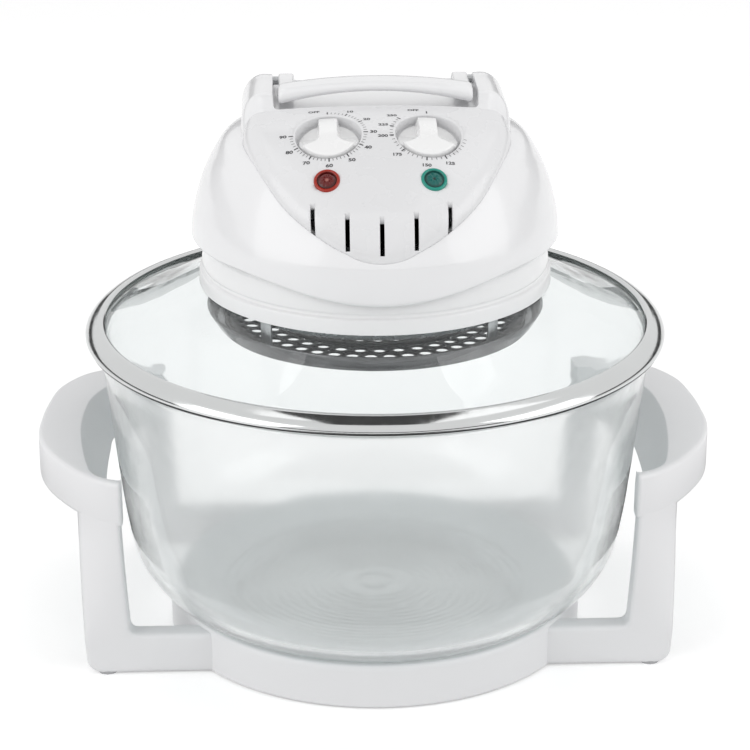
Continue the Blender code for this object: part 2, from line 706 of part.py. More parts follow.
def leg(name, y, inner_x, outer_x, lean):
    """One L of arm and post, drawn from the front and given the leg's depth."""
    corner = [
        (
            outer_x - LEG_CORNER + LEG_CORNER * math.cos(math.radians(angle)),
            FOOT_HEIGHT + LEG_CORNER + LEG_CORNER * math.sin(math.radians(angle)),
        )
        for angle in (270, 300, 330, 360)
    ]
    top_z = GRIP_TOP_Z - GRIP_HEIGHT / 3
    start_x = RING_RADIUS / 2
    points = [(start_x, FOOT_HEIGHT)] + corner + [
        (outer_x + lean, top_z), (inner_x + lean, top_z), (inner_x, ARM_TOP_Z), (start_x, ARM_TOP_Z),
    ]
    upright = Matrix.Translation((0.0, y, 0.0)) @ Matrix.Rotation(math.radians(90), 4, "X")
    return outline_plate(name, points, LEG_WIDTH / 2, None, upright)


def grip_ring(z, inward, inset):
    """The crescent outline at one height; inward moves the inner edge, inset draws the outer edge in."""
    outer = [(x * GRIP_OUTER_X - inset, y * GRIP_LENGTH) for x, y in GRIP_OUTER_SHARES]
    last = len(GRIP_INNER_SHARES) - 1
    inner = [
        (x * GRIP_OUTER_X - inward * math.sin(math.pi * i / last), y * GRIP_LENGTH)
        for i, (x, y) in enumerate(GRIP_INNER_SHARES)
    ]
    return [(x, y, z) for x, y in outer + inner]


def make_brackets():
    """A grip with its front and rear legs, moulded in one and tabbed into the ring, and its mirror image."""
    rings = [
        grip_ring(GRIP_TOP_Z - GRIP_HEIGHT * below, COVE_DEPTH * cove, GRIP_HEIGHT * inset)
        for below, cove, inset in GRIP_LEVEL_SHARES
    ]
    grip = loft("right_bracket", rings, "stand_plastic", smooth=True)
    join(
        grip,
        leg("front_leg", LEG_FRONT_Y, FRONT_POST_INNER_X, FRONT_POST_OUTER_X, POST_LEAN_X),
        leg("rear_leg", REAR_LEG_Y, REAR_POST_INNER_X, REAR_POST_OUTER_X, POST_LEAN_X),
    )
    clear_r = RING_RADIUS + GAP
    drum = [(0.0, GRIP_TOP_Z), (clear_r, GRIP_TOP_Z), (clear_r, -GRIP_TOP_Z), (0.0, -GRIP_TOP_Z)]
    cut(grip, turned("ring_clearance", drum, closed=False))
    for where, y in LEG_PLACES.items():
        ring_x = math.sqrt(RING_RADIUS ** 2 - y ** 2)
        low = (ring_x - TAB_LENGTH, y - TAB_WIDTH / 2, TAB_Z)
        high = (ring_x + TAB_LENGTH * 2, y + TAB_WIDTH / 2, TAB_Z + TAB_HEIGHT)
        join(grip, box("tab_" + where, low, high))
    for where, (x, y) in FOOT_PLACES.items():
        recess = rod("foot_recess_" + where, FOOT_RADIUS + GAP, (x, y, -OVERRUN), (x, y, FOOT_HEIGHT + FOOT_RECESS), None, TINY_STEPS)
        cut(grip, recess)
    right = as_mesh(grip, "stand_plastic")
    other = right.data.copy()
    other.transform(Matrix.Scale(-1.0, 4, (1.0, 0.0, 0.0)))
    other.flip_normals()
    other.materials.clear()
    add_object("left_bracket", other, "stand_plastic")


def make_feet():
    """Rubber pads in the legs' recesses; they are all that touches the worktop."""
    for side in (-1, 1):
        for where, (x, y) in FOOT_PLACES.items():
            name = f"foot_pad_{where}_{side_name(side)}"
            rod(name, FOOT_RADIUS, (side * x, y, 0.0), (side * x, y, FOOT_HEIGHT + FOOT_RECESS - GAP), "rubber",
                TINY_STEPS)


# Bowl and lid

def make_bowl():
    outer = bowl_outer()
    inner = offset_path(outer, BOWL_WALL)
    inner[0] = (BOWL_RADIUS - BOWL_WALL, BOWL_TOP_Z)
    turned("glass_bowl", list(reversed(inner)) + outer, "clear_glass", closed=False)


def make_lid():
    """The dished glass lid, the chromed rim rolled round its edge, and the seal between them."""
    top = lid_top()
    under = [(r, max(z - LID_GLASS, LID_SEAT_Z)) for r, z in top]
    turned("glass_lid", top + list(reversed(under)), "clear_glass")
    rim = [(LID_RADIUS - d * RIM_DEPTH, RIM_BASE_Z + h * RIM_HEIGHT) for d, h in RIM_SHARES]
    turned("lid_rim", shell_profile(rim, RIM_SHEET), "chrome_steel")
    seal_r = LID_RADIUS - SEAL_INSET
    seal = [(seal_r, SEAL_Z + SEAL_THICKNESS), (seal_r, SEAL_Z)]
    seal += [(seal_r - SEAL_WIDTH, SEAL_Z), (seal_r - SEAL_WIDTH, SEAL_Z + SEAL_THICKNESS)]
    turned("rim_seal", seal, "white_silicone")


# Heater parts under and over the lid's hole

def make_collar():
    """The lower housing ring, which stands on the glass round its hole."""
    foot_r = HEAD_RADIUS * COLLAR_FOOT_RADIUS_SHARE
    base = lid_top_z(foot_r) + GAP
    path = scaled(COLLAR_SHARES, HEAD_RADIUS, base, COLLAR_TOP_Z - base) + [(foot_r, base)]
    inner = offset_path(path, COLLAR_WALL)
    inner_r = foot_r - COLLAR_FOOT_INSET
    inner[-1] = (inner_r, lid_top_z(inner_r) + GAP)
    turned("collar", path + list(reversed(inner)), "head_plastic")


def make_heater():
    """The mounting plate on the glass, the reflector under it, and the ring lamp in its ceramic sockets."""
    rim_inner = PLATE_RIM_RADIUS - PLATE_RIM_WIDTH
    plate = [
        (SHAFT_HOLE_RADIUS, PLATE_TOP_Z), (PLATE_RIM_RADIUS, PLATE_TOP_Z),
        (PLATE_RIM_RADIUS, lid_top_z(PLATE_RIM_RADIUS) + GAP), (rim_inner, lid_top_z(rim_inner) + GAP),
        (rim_inner, PLATE_Z), (SHAFT_HOLE_RADIUS, PLATE_Z),
    ]
    turned("mounting_plate", plate, "zinc_steel")
    pan_top = PLATE_Z - GAP
    pan = [(r * REFLECTOR_RADIUS, pan_top - z * REFLECTOR_DEPTH) for r, z in REFLECTOR_SHARES]
    pan = [(SHAFT_HOLE_RADIUS, pan_top)] + pan
    turned("reflector", shell_profile(pan, GUARD_SHEET), "spun_aluminium")
    start, end = math.radians(90) + TUBE_GAP_ANGLE / 2, math.radians(450) - TUBE_GAP_ANGLE / 2
    ring = [
        (
            LAMP_RING_RADIUS * math.cos(start + (end - start) * i / TUBE_POINTS),
            LAMP_RING_RADIUS * math.sin(start + (end - start) * i / TUBE_POINTS),
            TUBE_Z,
        )
        for i in range(TUBE_POINTS + 1)
    ]
    tube("halogen_lamp", ring, TUBE_RADIUS, "quartz_glass")
    half_gap = TUBE_GAP_ANGLE / 2 + math.pi / TUBE_POINTS
    face_x = LAMP_RING_RADIUS * math.sin(TUBE_GAP_ANGLE / 2) - TUBE_RADIUS * math.sin(half_gap) - GAP
    for side in (-1, 1):
        near, far = face_x - SOCKET_WIDTH * SOCKET_DEPTH_SHARE, face_x
        low = (min(side * near, side * far), LAMP_RING_RADIUS - SOCKET_WIDTH / 2, TUBE_Z - TUBE_RADIUS - GAP)
        high = (max(side * near, side * far), LAMP_RING_RADIUS + SOCKET_WIDTH / 2, pan_top - SOCKET_TOP_DROP)
        box("lamp_socket_" + side_name(side), low, high, "ceramic")


def make_guard():
    """The perforated guard in its chromed trim ring, hung from the mounting plate by four straps."""
    lip_top = GUARD_RING_FOOT_Z + GUARD_SHEET
    ring = [
        (GUARD_RING_TOP_RADIUS, GUARD_RING_TOP_Z), (GUARD_RING_FOOT_RADIUS, GUARD_RING_FOOT_Z),
        (GUARD_RING_FOOT_RADIUS - GUARD_LIP, GUARD_RING_FOOT_Z),
    ]
    turned("guard_trim_ring", shell_profile(ring, GUARD_SHEET), "chrome_steel")
    low, high = lip_top + GAP, lip_top + GAP + GUARD_SHEET
    disc = [(0.0, high), (GUARD_PLATE_RADIUS, high), (GUARD_PLATE_RADIUS, low), (0.0, low)]
    guard = turned("guard_plate", disc, "dark_steel", closed=False)
    holes = bmesh.new()
    for circle_share, count in HOLE_CIRCLE_SHARES:
        for i in range(count):
            angle = math.tau * (i + 0.5) / count
            place = Matrix.Rotation(angle, 4, "Z") @ Matrix.Translation((GUARD_PLATE_RADIUS * circle_share, 0, low))
            bmesh.ops.create_cone(
                holes, cap_ends=True, segments=HOLE_SIDES, radius1=HOLE_RADIUS, radius2=HOLE_RADIUS,
                depth=2 * OVERRUN, matrix=place,
            )
    cut(guard, from_bmesh("guard_holes", holes))
    for i in range(4):
        angle = HANGER_ANGLE + math.radians(90) * i
        strap = box(
            f"guard_hanger_{i + 1}",
            (HANGER_RADIUS - PLATE_SHEET / 2, -HANGER_WIDTH / 2, lip_top + GAP),
            (HANGER_RADIUS + PLATE_SHEET / 2, HANGER_WIDTH / 2, PLATE_Z - GAP),
            "zinc_steel",
        )
        strap.matrix_world = Matrix.Rotation(angle, 4, "Z") @ strap.matrix_world


# Motor and fans

def make_motor():
    """A shaded-pole motor on its strap over the mounting plate."""
    strap = [
        (-BRACKET_HALF_WIDTH, PLATE_TOP_Z + GAP), (-BRACKET_HALF_WIDTH, BRACKET_TOP_Z + BRACKET_SHEET),
        (BRACKET_HALF_WIDTH, BRACKET_TOP_Z + BRACKET_SHEET), (BRACKET_HALF_WIDTH, PLATE_TOP_Z + GAP),
        (BRACKET_HALF_WIDTH - BRACKET_SHEET, PLATE_TOP_Z + GAP), (BRACKET_HALF_WIDTH - BRACKET_SHEET, BRACKET_TOP_Z),
        (BRACKET_SHEET - BRACKET_HALF_WIDTH, BRACKET_TOP_Z), (BRACKET_SHEET - BRACKET_HALF_WIDTH, PLATE_TOP_Z + GAP),
    ]
    upright = Matrix.Rotation(math.radians(90), 4, "X")
    bracket = outline_plate("motor_bracket", strap, BRACKET_DEPTH / 2, "zinc_steel", upright)
    hole = rod("shaft_clearance", MOTOR_SHAFT_RADIUS + RUN_GAP, (0, 0, PLATE_Z), (0, 0, SHAFT_TOP_Z))
    cut(bracket, hole)
    low = BRACKET_TOP_Z + BRACKET_SHEET + GAP
    high = low + STACK_HEIGHT
    stack = box(
        "motor_stack", (-STACK_WIDTH / 2, -STACK_DEPTH / 2, low), (STACK_WIDTH / 2, STACK_DEPTH / 2, high),
        "dark_steel",
    )
    cut(stack, rod("stack_bore", BORE_RADIUS, (0, 0, low - OVERRUN), (0, 0, high + OVERRUN)))
    coil_low = (low + high - COIL_HEIGHT) / 2
    coil_y = STACK_DEPTH / 2 + GAP
    box(
        "motor_coil", (-COIL_WIDTH / 2, coil_y, coil_low),
        (COIL_WIDTH / 2, coil_y + COIL_DEPTH, coil_low + COIL_HEIGHT), "copper_wire", bevel=COIL_DEPTH / 4,
    )
    rotor = [
        (BORE_RADIUS - RUN_GAP, high + RUN_GAP), (BORE_RADIUS - RUN_GAP, low + RUN_GAP),
        (MOTOR_SHAFT_RADIUS + GAP, low + RUN_GAP), (MOTOR_SHAFT_RADIUS + GAP, high + RUN_GAP),
    ]
    turned("motor_rotor", rotor, "zinc_steel", steps=SMALL_STEPS)
    rod("motor_shaft", MOTOR_SHAFT_RADIUS, (0, 0, SHAFT_FOOT_Z), (0, 0, SHAFT_TOP_Z), "zinc_steel")
    box(
        "terminal_block", (-TERMINAL_WIDTH / 2, TERMINAL_Y - TERMINAL_DEPTH / 2, PLATE_TOP_Z + GAP),
        (TERMINAL_WIDTH / 2, TERMINAL_Y + TERMINAL_DEPTH / 2, PLATE_TOP_Z + GAP + TERMINAL_HEIGHT), "ceramic",
    )


def make_fan(name, radius, base_z, height, blades, disc_on_top):
    """Flat radial blades on a disc with a bored hub."""
    bore = MOTOR_SHAFT_RADIUS + GAP
    low, high = base_z, base_z + height
    if disc_on_top:
        profile = [
            (bore, high), (radius, high), (radius, high - BLADE_SHEET), (HUB_FAN_RADIUS, high - BLADE_SHEET),
            (HUB_FAN_RADIUS, low), (bore, low),
        ]
    else:
        profile = [
            (bore, high), (HUB_FAN_RADIUS, high), (HUB_FAN_RADIUS, low + BLADE_SHEET),
            (radius, low + BLADE_SHEET), (radius, low), (bore, low),
        ]
    fan = turned(name, profile, "spun_aluminium", steps=SMALL_STEPS)
    for i in range(blades):
        blade = box(
            f"{name}_blade_{i + 1}", (HUB_FAN_RADIUS * FAN_ROOT_SHARE, -BLADE_SHEET / 2, low + BLADE_SHEET / 2),
            (radius * FAN_TIP_SHARE, BLADE_SHEET / 2, high - BLADE_SHEET / 2),
        )
        blade.matrix_world = Matrix.Rotation(math.tau * i / blades, 4, "Z") @ blade.matrix_world
        join(fan, blade)


# Upper housings

def panel_rows(front):
    """The rows of the front or rear panel: centre point, lean, half width, bow radius and border drop."""
    rows = []
    for along, down, lean, half, bow, border in PANEL_ROW_SHARES:
        if front:
            y, z, side = PANEL_TOP_Y - along * PANEL_LENGTH, PANEL_TOP_Z - down * PANEL_HEIGHT, 1
        else:
            y, z, side = SADDLE_BACK_Y + GAP + along * REAR_LENGTH, REAR_TOP_Z - down * REAR_HEIGHT, -1
        rows.append((y, z, side * lean, half * PANEL_HALF_WIDTH, bow * PANEL_HALF_WIDTH, border * PANEL_HEIGHT))
    return rows


def panel_point(row, x, depth):
    """A point of a panel row at this X, this deep under the bowed surface."""
    y, z, lean, _, bow, _ = row
    angle = lean * math.pi / 2
    fall = x * x / (2 * bow) + depth
    return Vector((x, y + math.sin(angle) * fall, z - math.cos(angle) * fall))


def panel_line(row, wall, edges):
    """One row of points from left to right: the bowed surface, this deep, then the border's edges."""
    half, border = row[3], row[5]
    inner_half = max(half - wall * PANEL_INNER_SHARE, half * PANEL_INNER_SHARE)
    deep = panel_point(row, half, border)
    line = [panel_point(row, share * inner_half, wall) for share in PANEL_COLUMN_SHARES]
    line += [Vector((edge, deep.y, deep.z)) for edge in edges]
    return [Vector((-p.x, p.y, p.z)) for p in reversed(line[1:])] + line


def grid_solid(name, upper, lower, material=None):
    """A closed solid between two grids of the same counts."""
    return loft(name, [above + list(reversed(below)) for above, below in zip(upper, lower)], material, bool(material))


def panel_solid(name, rows, material):
    """The bowed sheet with a border that runs down past the housing's wall."""
    upper, lower = [], []
    for row in rows:
        edge = row[3] + PANEL_BORDER
        upper.append(panel_line(row, 0.0, [edge]))
        lower.append(panel_line(row, PANEL_WALL, [max(edge - PANEL_WALL, edge * PANEL_INNER_SHARE)]))
    return grid_solid(name, upper, lower, material)


def panel_cutter(name, rows):
    """The room that a panel takes out of the dome: its outline, from just under it outwards."""
    upper, lower = [], []
    for row in rows:
        y, z, lean, half, bow, border = row
        angle = lean * math.pi / 2
        out = Vector((0.0, -math.sin(angle), math.cos(angle)))
        edge = half + PANEL_BORDER
        inner_edge = max(edge - PANEL_WALL, edge * PANEL_INNER_SHARE)
        under = panel_line((y, z, lean, half, bow, border + GAP), PANEL_WALL + GAP, [inner_edge - GAP, edge + GAP])
        lower.append(under)
        upper.append([p + out * PANEL_CUT_HEIGHT for p in under])
    for grid in (lower, upper):
        grid[-1] = [p - Vector((0.0, 0.0, 2 * GAP)) for p in grid[-1]]
    return grid_solid(name, upper, lower)


def panel_spot(front, x, y):
    """The point of a panel's outer surface at this X and profile Y, and the bow radius there."""
    rows = panel_rows(front)[:-1]
    sign = 1 if front else -1
    for above, below in zip(rows, rows[1:]):
        if sign * y >= sign * below[0]:
            break
    share = (above[0] - y) / (above[0] - below[0])
    row = tuple(a + (b - a) * share for a, b in zip(above, below))
    return panel_point(row, x, 0.0), row[4]


def panel_frame(front, x, y, reach):
    """The place on a panel of a piece that reaches this far up and down: Z is outwards, Y runs up the panel."""
    sign = 1 if front else -1
    place, bow = panel_spot(front, x, y)
    up = (panel_spot(front, x, y + sign * reach)[0] - panel_spot(front, x, y - sign * reach)[0]).normalized()
    across = Vector((sign, 0.0, -sign * x / bow)).normalized()
    normal = across.cross(up).normalized()
    across = up.cross(normal)
    return Matrix.Translation(place) @ Matrix((across, up, normal)).transposed().to_4x4()


def place_in(frame, made):
    made.matrix_world = frame @ made.matrix_world
    return made


def local_rod(name, frame, radius, low, high, material=None, sides=TINY_STEPS):
    return place_in(frame, rod(name, radius, (0, 0, low), (0, 0, high), material, sides))


def vent_slots(front):
    """Slot cutters across the lower part of a panel, as many each side of the middle one."""
    made = []
    for i in range(-SLOTS_EACH_SIDE, SLOTS_EACH_SIDE + 1):
        if front:
            y = SLOT_Y + SLOT_STEP_BACK * i * i
        else:
            y = REAR_SLOT_Y
        half_length = (SLOT_LENGTH if front else REAR_SLOT_LENGTH) / 2
        frame = panel_frame(front, SLOT_PITCH * i, y, half_length / 2)
        slot = box(
            f"{'front' if front else 'rear'}_slot_{i + SLOTS_EACH_SIDE + 1}",
            (-SLOT_WIDTH / 2, -half_length, -SLOT_DEPTH), (SLOT_WIDTH / 2, half_length, SLOT_DEPTH),
        )
        made.append(place_in(frame, slot))
    return made


def make_control_panel():
    """The shield-shaped control panel: two knob wells, two lamp holes and five vent slots."""
    panel = panel_solid("control_panel", panel_rows(True), "panel_plastic")
    for side in (-1, 1):
        where = side_name(side)
        frame = panel_frame(True, side * KNOB_X, KNOB_Y, KNOB_RADIUS)
        floor = WELL_DEPTH + WELL_WALL
        join(panel, local_rod("well_cup_" + where, frame, WELL_RADIUS + WELL_WALL, -floor, -WELL_START, None, WELL_SIDES))
        cut(panel, local_rod("well_" + where, frame, WELL_RADIUS, -WELL_DEPTH, WELL_DEPTH, None, WELL_SIDES))
        cut(panel, local_rod("shaft_hole_" + where, frame, SHAFT_RADIUS + 2 * GAP, -2 * floor, 0.0))
        lamp = panel_frame(True, side * LAMP_X, LAMP_Y, LAMP_RADIUS)
        cut(panel, local_rod("lamp_hole_" + where, lamp, LAMP_STEM_RADIUS + 2 * GAP, -2 * floor, floor))
    cut(panel, *vent_slots(True))


def make_rear_panel():
    panel = panel_solid("rear_panel", panel_rows(False), "head_plastic")
    cut(panel, *vent_slots(False))


def make_dome():
    """The upper housing: a turned shell, flattened in front, its skirt dipping there, open under its panels."""
    path = scaled(DOME_SHARES, HEAD_RADIUS, SKIRT_Z, DOME_HEIGHT)
    inner = list(reversed(offset_path(path, HOUSING_WALL)))
    inner[0] = (HEAD_RADIUS - HOUSING_WALL, SKIRT_Z)
    flange_r = HEAD_RADIUS - HOUSING_WALL - FLANGE_WIDTH
    flange = [
        (HEAD_RADIUS - HOUSING_WALL, FLANGE_Z), (flange_r, FLANGE_Z),
        (flange_r, FLANGE_Z + HOUSING_WALL), (HEAD_RADIUS - HOUSING_WALL, FLANGE_Z + HOUSING_WALL),
    ]
    dome = as_mesh(turned("upper_housing", path + inner[:1] + flange + inner[1:], "head_plastic"), "head_plastic")
    for vertex in dome.data.vertices:
        place = vertex.co
        if place.y < 0:
            rise = min(max((place.z - SKIRT_Z) / (DOME_HEIGHT * FLAT_RISE_SHARE), 0.0), 1.0)
            place.y *= 1 - FRONT_FLAT_SHARE * rise * rise * (3 - 2 * rise)
        if place.z < SKIRT_Z + GAP:
            turn = abs(math.atan2(place.x, -place.y)) / SKIRT_DIP_ANGLE
            if turn < 1:
                place.z -= SKIRT_DIP_HEIGHT * (0.5 + 0.5 * math.cos(math.pi * turn))
    boss_x = INLET_WIDTH / 2 + BOSS_MARGIN
    boss_z = INLET_HEIGHT / 2 + BOSS_MARGIN * BOSS_TALL_SHARE
    boss = box(
        "inlet_boss", (-boss_x, INLET_FACE_Y - BOSS_DEPTH, INLET_Z - boss_z),
        (boss_x, INLET_FACE_Y, INLET_Z + boss_z),
    )
    opening = box(
        "inlet_opening", (-INLET_WIDTH / 2 - GAP, INLET_FACE_Y - 2 * BOSS_DEPTH, INLET_Z - INLET_HEIGHT / 2 - GAP),
        (INLET_WIDTH / 2 + GAP, INLET_FACE_Y + OVERRUN, INLET_Z + INLET_HEIGHT / 2 + GAP),
    )
    join(dome, boss)
    cut(dome, opening)
    cut(dome, panel_cutter("front_panel_room", panel_rows(True)), panel_cutter("rear_panel_room", panel_rows(False)))
    cut(dome, box(
        "saddle_room", (-SADDLE_HALF_WIDTH - GAP, PANEL_TOP_Y - OVERRUN / 2, SADDLE_FOOT_Z - OVERRUN * 3),
        (SADDLE_HALF_WIDTH + GAP, SADDLE_BACK_Y + OVERRUN / 2, EAR_TOP_Z + OVERRUN),
    ))
    cut(dome, box(
        "well_room", (-WELL_ROOM_HALF_WIDTH, WELL_ROOM_FRONT_Y, WELL_ROOM_FOOT_Z),
        (WELL_ROOM_HALF_WIDTH, PANEL_TOP_Y + OVERRUN, EAR_TOP_Z),
    ))
    window = [(x * PANEL_HALF_WIDTH, PANEL_TOP_Z + z * PANEL_HEIGHT) for x, z in WINDOW_SHARES]
    facing = Matrix.Translation((0.0, PANEL_TOP_Y - PANEL_LENGTH, 0.0)) @ Matrix.Rotation(math.radians(90), 4, "X")
    cut(dome, outline_plate("front_window", window, PANEL_LENGTH * WINDOW_REACH_SHARE, None, facing))
    for x, y in screw_places():
        cut(dome, rod("dome_screw_hole", SCREW_RADIUS + GAP, (x, y, COLLAR_TOP_Z), (x, y, FLANGE_Z + 2 * HOUSING_WALL),
                      None, TINY_STEPS))


def screw_places():
    return [
        (SCREW_CIRCLE * math.cos(math.radians(angle)), SCREW_CIRCLE * math.sin(math.radians(angle)))
        for angle in SCREW_ANGLES
    ]


def make_housing_screws():
    """Pan-head screws through the dome's flange into the collar's upper edge."""
    seat = FLANGE_Z + HOUSING_WALL + GAP
    collar = PARTS.objects["collar"]
    for i, (x, y) in enumerate(screw_places()):
        screw = rod(
            f"housing_screw_{i + 1}", SCREW_HEAD_RADIUS, (x, y, seat), (x, y, seat + SCREW_HEAD), "zinc_steel",
            TINY_STEPS,
        )
        join(screw, rod(
            f"screw_shank_{i + 1}", SCREW_RADIUS, (x, y, seat - SCREW_LENGTH), (x, y, seat + SCREW_HEAD / 2),
            None, TINY_STEPS,
        ))
        bottom = seat - SCREW_LENGTH - GAP
        cut(collar, rod(f"screw_bore_{i + 1}", SCREW_RADIUS + GAP, (x, y, bottom), (x, y, seat), None, TINY_STEPS))


def make_saddle():
    """The handle's saddle: two ears with a recess between them, closing the dome's top."""
    rings = []
    in_share, down_share = EAR_SHOULDER_SHARES
    for along, ear, middle in SADDLE_STATION_SHARES:
        y = PANEL_TOP_Y + GAP + (SADDLE_BACK_Y - PANEL_TOP_Y - GAP) * along
        ear_z = EAR_TOP_Z + ear * (EAR_TOP_Z - RECESS_FLOOR_Z) * EAR_FALL_SHARE
        middle_z = EAR_TOP_Z + middle * (EAR_TOP_Z - RECESS_FLOOR_Z) * EAR_FALL_SHARE
        w, s = SADDLE_HALF_WIDTH, EAR_SHOULDER
        half = [
            (w, SADDLE_FOOT_Z), (w, ear_z - s), (w - s * in_share, ear_z - s * down_share), (w - s, ear_z),
            (w / 2, (ear_z + middle_z) / 2), (w / 6, middle_z),
        ]
        rings.append([(x, y, z) for x, z in half] + [(-x, y, z) for x, z in reversed(half)])
    saddle = loft("handle_saddle", rings, "head_plastic", smooth=True)
    cut(saddle, box(
        "saddle_hollow", (SADDLE_SIDE_WALL - SADDLE_HALF_WIDTH, PANEL_TOP_Y - OVERRUN, SADDLE_FOOT_Z - OVERRUN),
        (SADDLE_HALF_WIDTH - SADDLE_SIDE_WALL, RECESS_BACK_Y, RECESS_FLOOR_Z - SADDLE_WALL),
    ))
    cut(saddle, box(
        "handle_recess", (-RECESS_HALF_WIDTH, RECESS_FRONT_Y, RECESS_FLOOR_Z),
        (RECESS_HALF_WIDTH, RECESS_BACK_Y, EAR_TOP_Z + 2 * OVERRUN),
    ))
    for side in (-1, 1):
        xs = sorted((side * ARM_SLOT_INNER_X, side * ARM_SLOT_OUTER_X))
        cut(saddle, box(
            "arm_slot_" + side_name(side), (xs[0], ARM_SLOT_FRONT_Y, RECESS_FLOOR_Z - 2 * SADDLE_WALL),
            (xs[1], ARM_SLOT_BACK_Y, RECESS_FLOOR_Z + OVERRUN),
        ))
        cut(saddle, rod(
            "pin_bore_" + side_name(side), PIN_RADIUS + GAP, (side * (RECESS_HALF_WIDTH - OVERRUN), PIVOT_Y, PIVOT_Z),
            (side * (RECESS_HALF_WIDTH + PIN_BITE + GAP), PIVOT_Y, PIVOT_Z), None, TINY_STEPS,
        ))


def make_handle():
    """The folding carrying handle: an arched grip bar on two arms, with the switch cam on its right hub."""
    half = HANDLE_HALF_LENGTH
    rings = []
    for along, size in HANDLE_STATION_SHARES:
        x = along * half
        middle_z = HANDLE_TOP_Z - HANDLE_THICKNESS / 2 - HANDLE_ARCH * along * along
        rings.append([
            (x, HANDLE_Y + y * size * HANDLE_DEPTH / 2, middle_z + z * size * HANDLE_THICKNESS / 2)
            for y, z in reversed(HANDLE_SECTION_SHARES)
        ])
    handle = loft("handle", rings, "head_plastic", smooth=True)
    arm_x = half - ARM_THICKNESS / 2
    bar_z = HANDLE_TOP_Z - HANDLE_THICKNESS / 2 - HANDLE_ARCH * (arm_x / half) ** 2
    hub = [
        (
            PIVOT_Y + HUB_RADIUS * math.cos(math.radians(angle)),
            PIVOT_Z + HUB_RADIUS * math.sin(math.radians(angle)),
        )
        for angle in range(90, -91, -30)
    ]
    root_y, tip_y = PIVOT_Y - HUB_RADIUS * ARM_ROOT_SHARE, HANDLE_Y + HANDLE_DEPTH * ARM_TIP_SHARE
    arm = [(HANDLE_Y, bar_z + ARM_THICKNESS / 2 * ARM_TIP_RISE_SHARE), (root_y, PIVOT_Z + HUB_RADIUS)] + hub
    arm += [(root_y, PIVOT_Z - HUB_RADIUS * ARM_UNDER_SHARE), (tip_y, bar_z - HANDLE_THICKNESS * ARM_UNDER_SHARE / 2)]
    arm += [(HANDLE_Y, bar_z - HANDLE_THICKNESS * ARM_UNDER_SHARE / 2)]
    for side in (-1, 1):
        where = side_name(side)
        join(handle, outline_plate("arm_" + where, arm, ARM_THICKNESS / 2, None,
                                   Matrix.Translation((side * arm_x, 0, 0)) @ SIDE_VIEW))
    growth = CAM_TRAVEL / CAM_SWEEP
    cam = [(PIVOT_Y, PIVOT_Z)]
    for i in range(CAM_POINTS + 1):
        angle = CAM_SWEEP * (CAM_START_SHARE + (1 - CAM_START_SHARE + CAM_OVER_SHARE) * i / CAM_POINTS)
        radius = CAM_RADIUS - growth * max(angle, 0.0)
        cam.append((PIVOT_Y + radius * math.sin(angle), PIVOT_Z - radius * math.cos(angle)))
    join(handle, outline_plate("switch_cam", cam, CAM_WIDTH / 2, None,
                               Matrix.Translation((SWITCH_X, 0, 0)) @ SIDE_VIEW))
    for side in (-1, 1):
        where = side_name(side)
        inner, outer = half - ARM_THICKNESS - OVERRUN, half + OVERRUN
        cut(handle, rod("hub_bore_" + where, PIN_RADIUS + GAP, (side * inner, PIVOT_Y, PIVOT_Z),
                        (side * outer, PIVOT_Y, PIVOT_Z), None, TINY_STEPS))
        rod("handle_pin_" + where, PIN_RADIUS, (side * (half - ARM_THICKNESS + GAP), PIVOT_Y, PIVOT_Z),
            (side * (RECESS_HALF_WIDTH + PIN_BITE), PIVOT_Y, PIVOT_Z), "zinc_steel", TINY_STEPS)
    put_origin(as_mesh(handle, "head_plastic"), (0.0, PIVOT_Y, PIVOT_Z))


def make_switch():
    """The safety switch under the right arm slot, with the plunger that the handle's cam holds down."""
    y0, y1 = PIVOT_Y - SWITCH_LENGTH / 2, PIVOT_Y + SWITCH_LENGTH / 2
    body = box("safety_switch", (SWITCH_INNER_X, y0, SWITCH_TOP_Z - SWITCH_HEIGHT), (SWITCH_OUTER_X, y1, SWITCH_TOP_Z),
               "black_plastic")
    post_x = ARM_SLOT_INNER_X - GAP
    join(body, box("switch_post", (SWITCH_INNER_X, y0, SWITCH_TOP_Z - SWITCH_HEIGHT / 2),
                   (post_x, y1, RECESS_FLOOR_Z - SADDLE_WALL - GAP)))
    tip_z = PIVOT_Z - CAM_RADIUS - TIP_GAP
    low = tip_z - PLUNGER_LENGTH
    cut(body, rod("plunger_bore", PLUNGER_RADIUS + RUN_GAP, (SWITCH_X, PIVOT_Y, low - GAP),
                  (SWITCH_X, PIVOT_Y, tip_z), None, TINY_STEPS))
    rod("switch_plunger", PLUNGER_RADIUS, (SWITCH_X, PIVOT_Y, low), (SWITCH_X, PIVOT_Y, tip_z), "white_silicone",
        TINY_STEPS)


# Controls

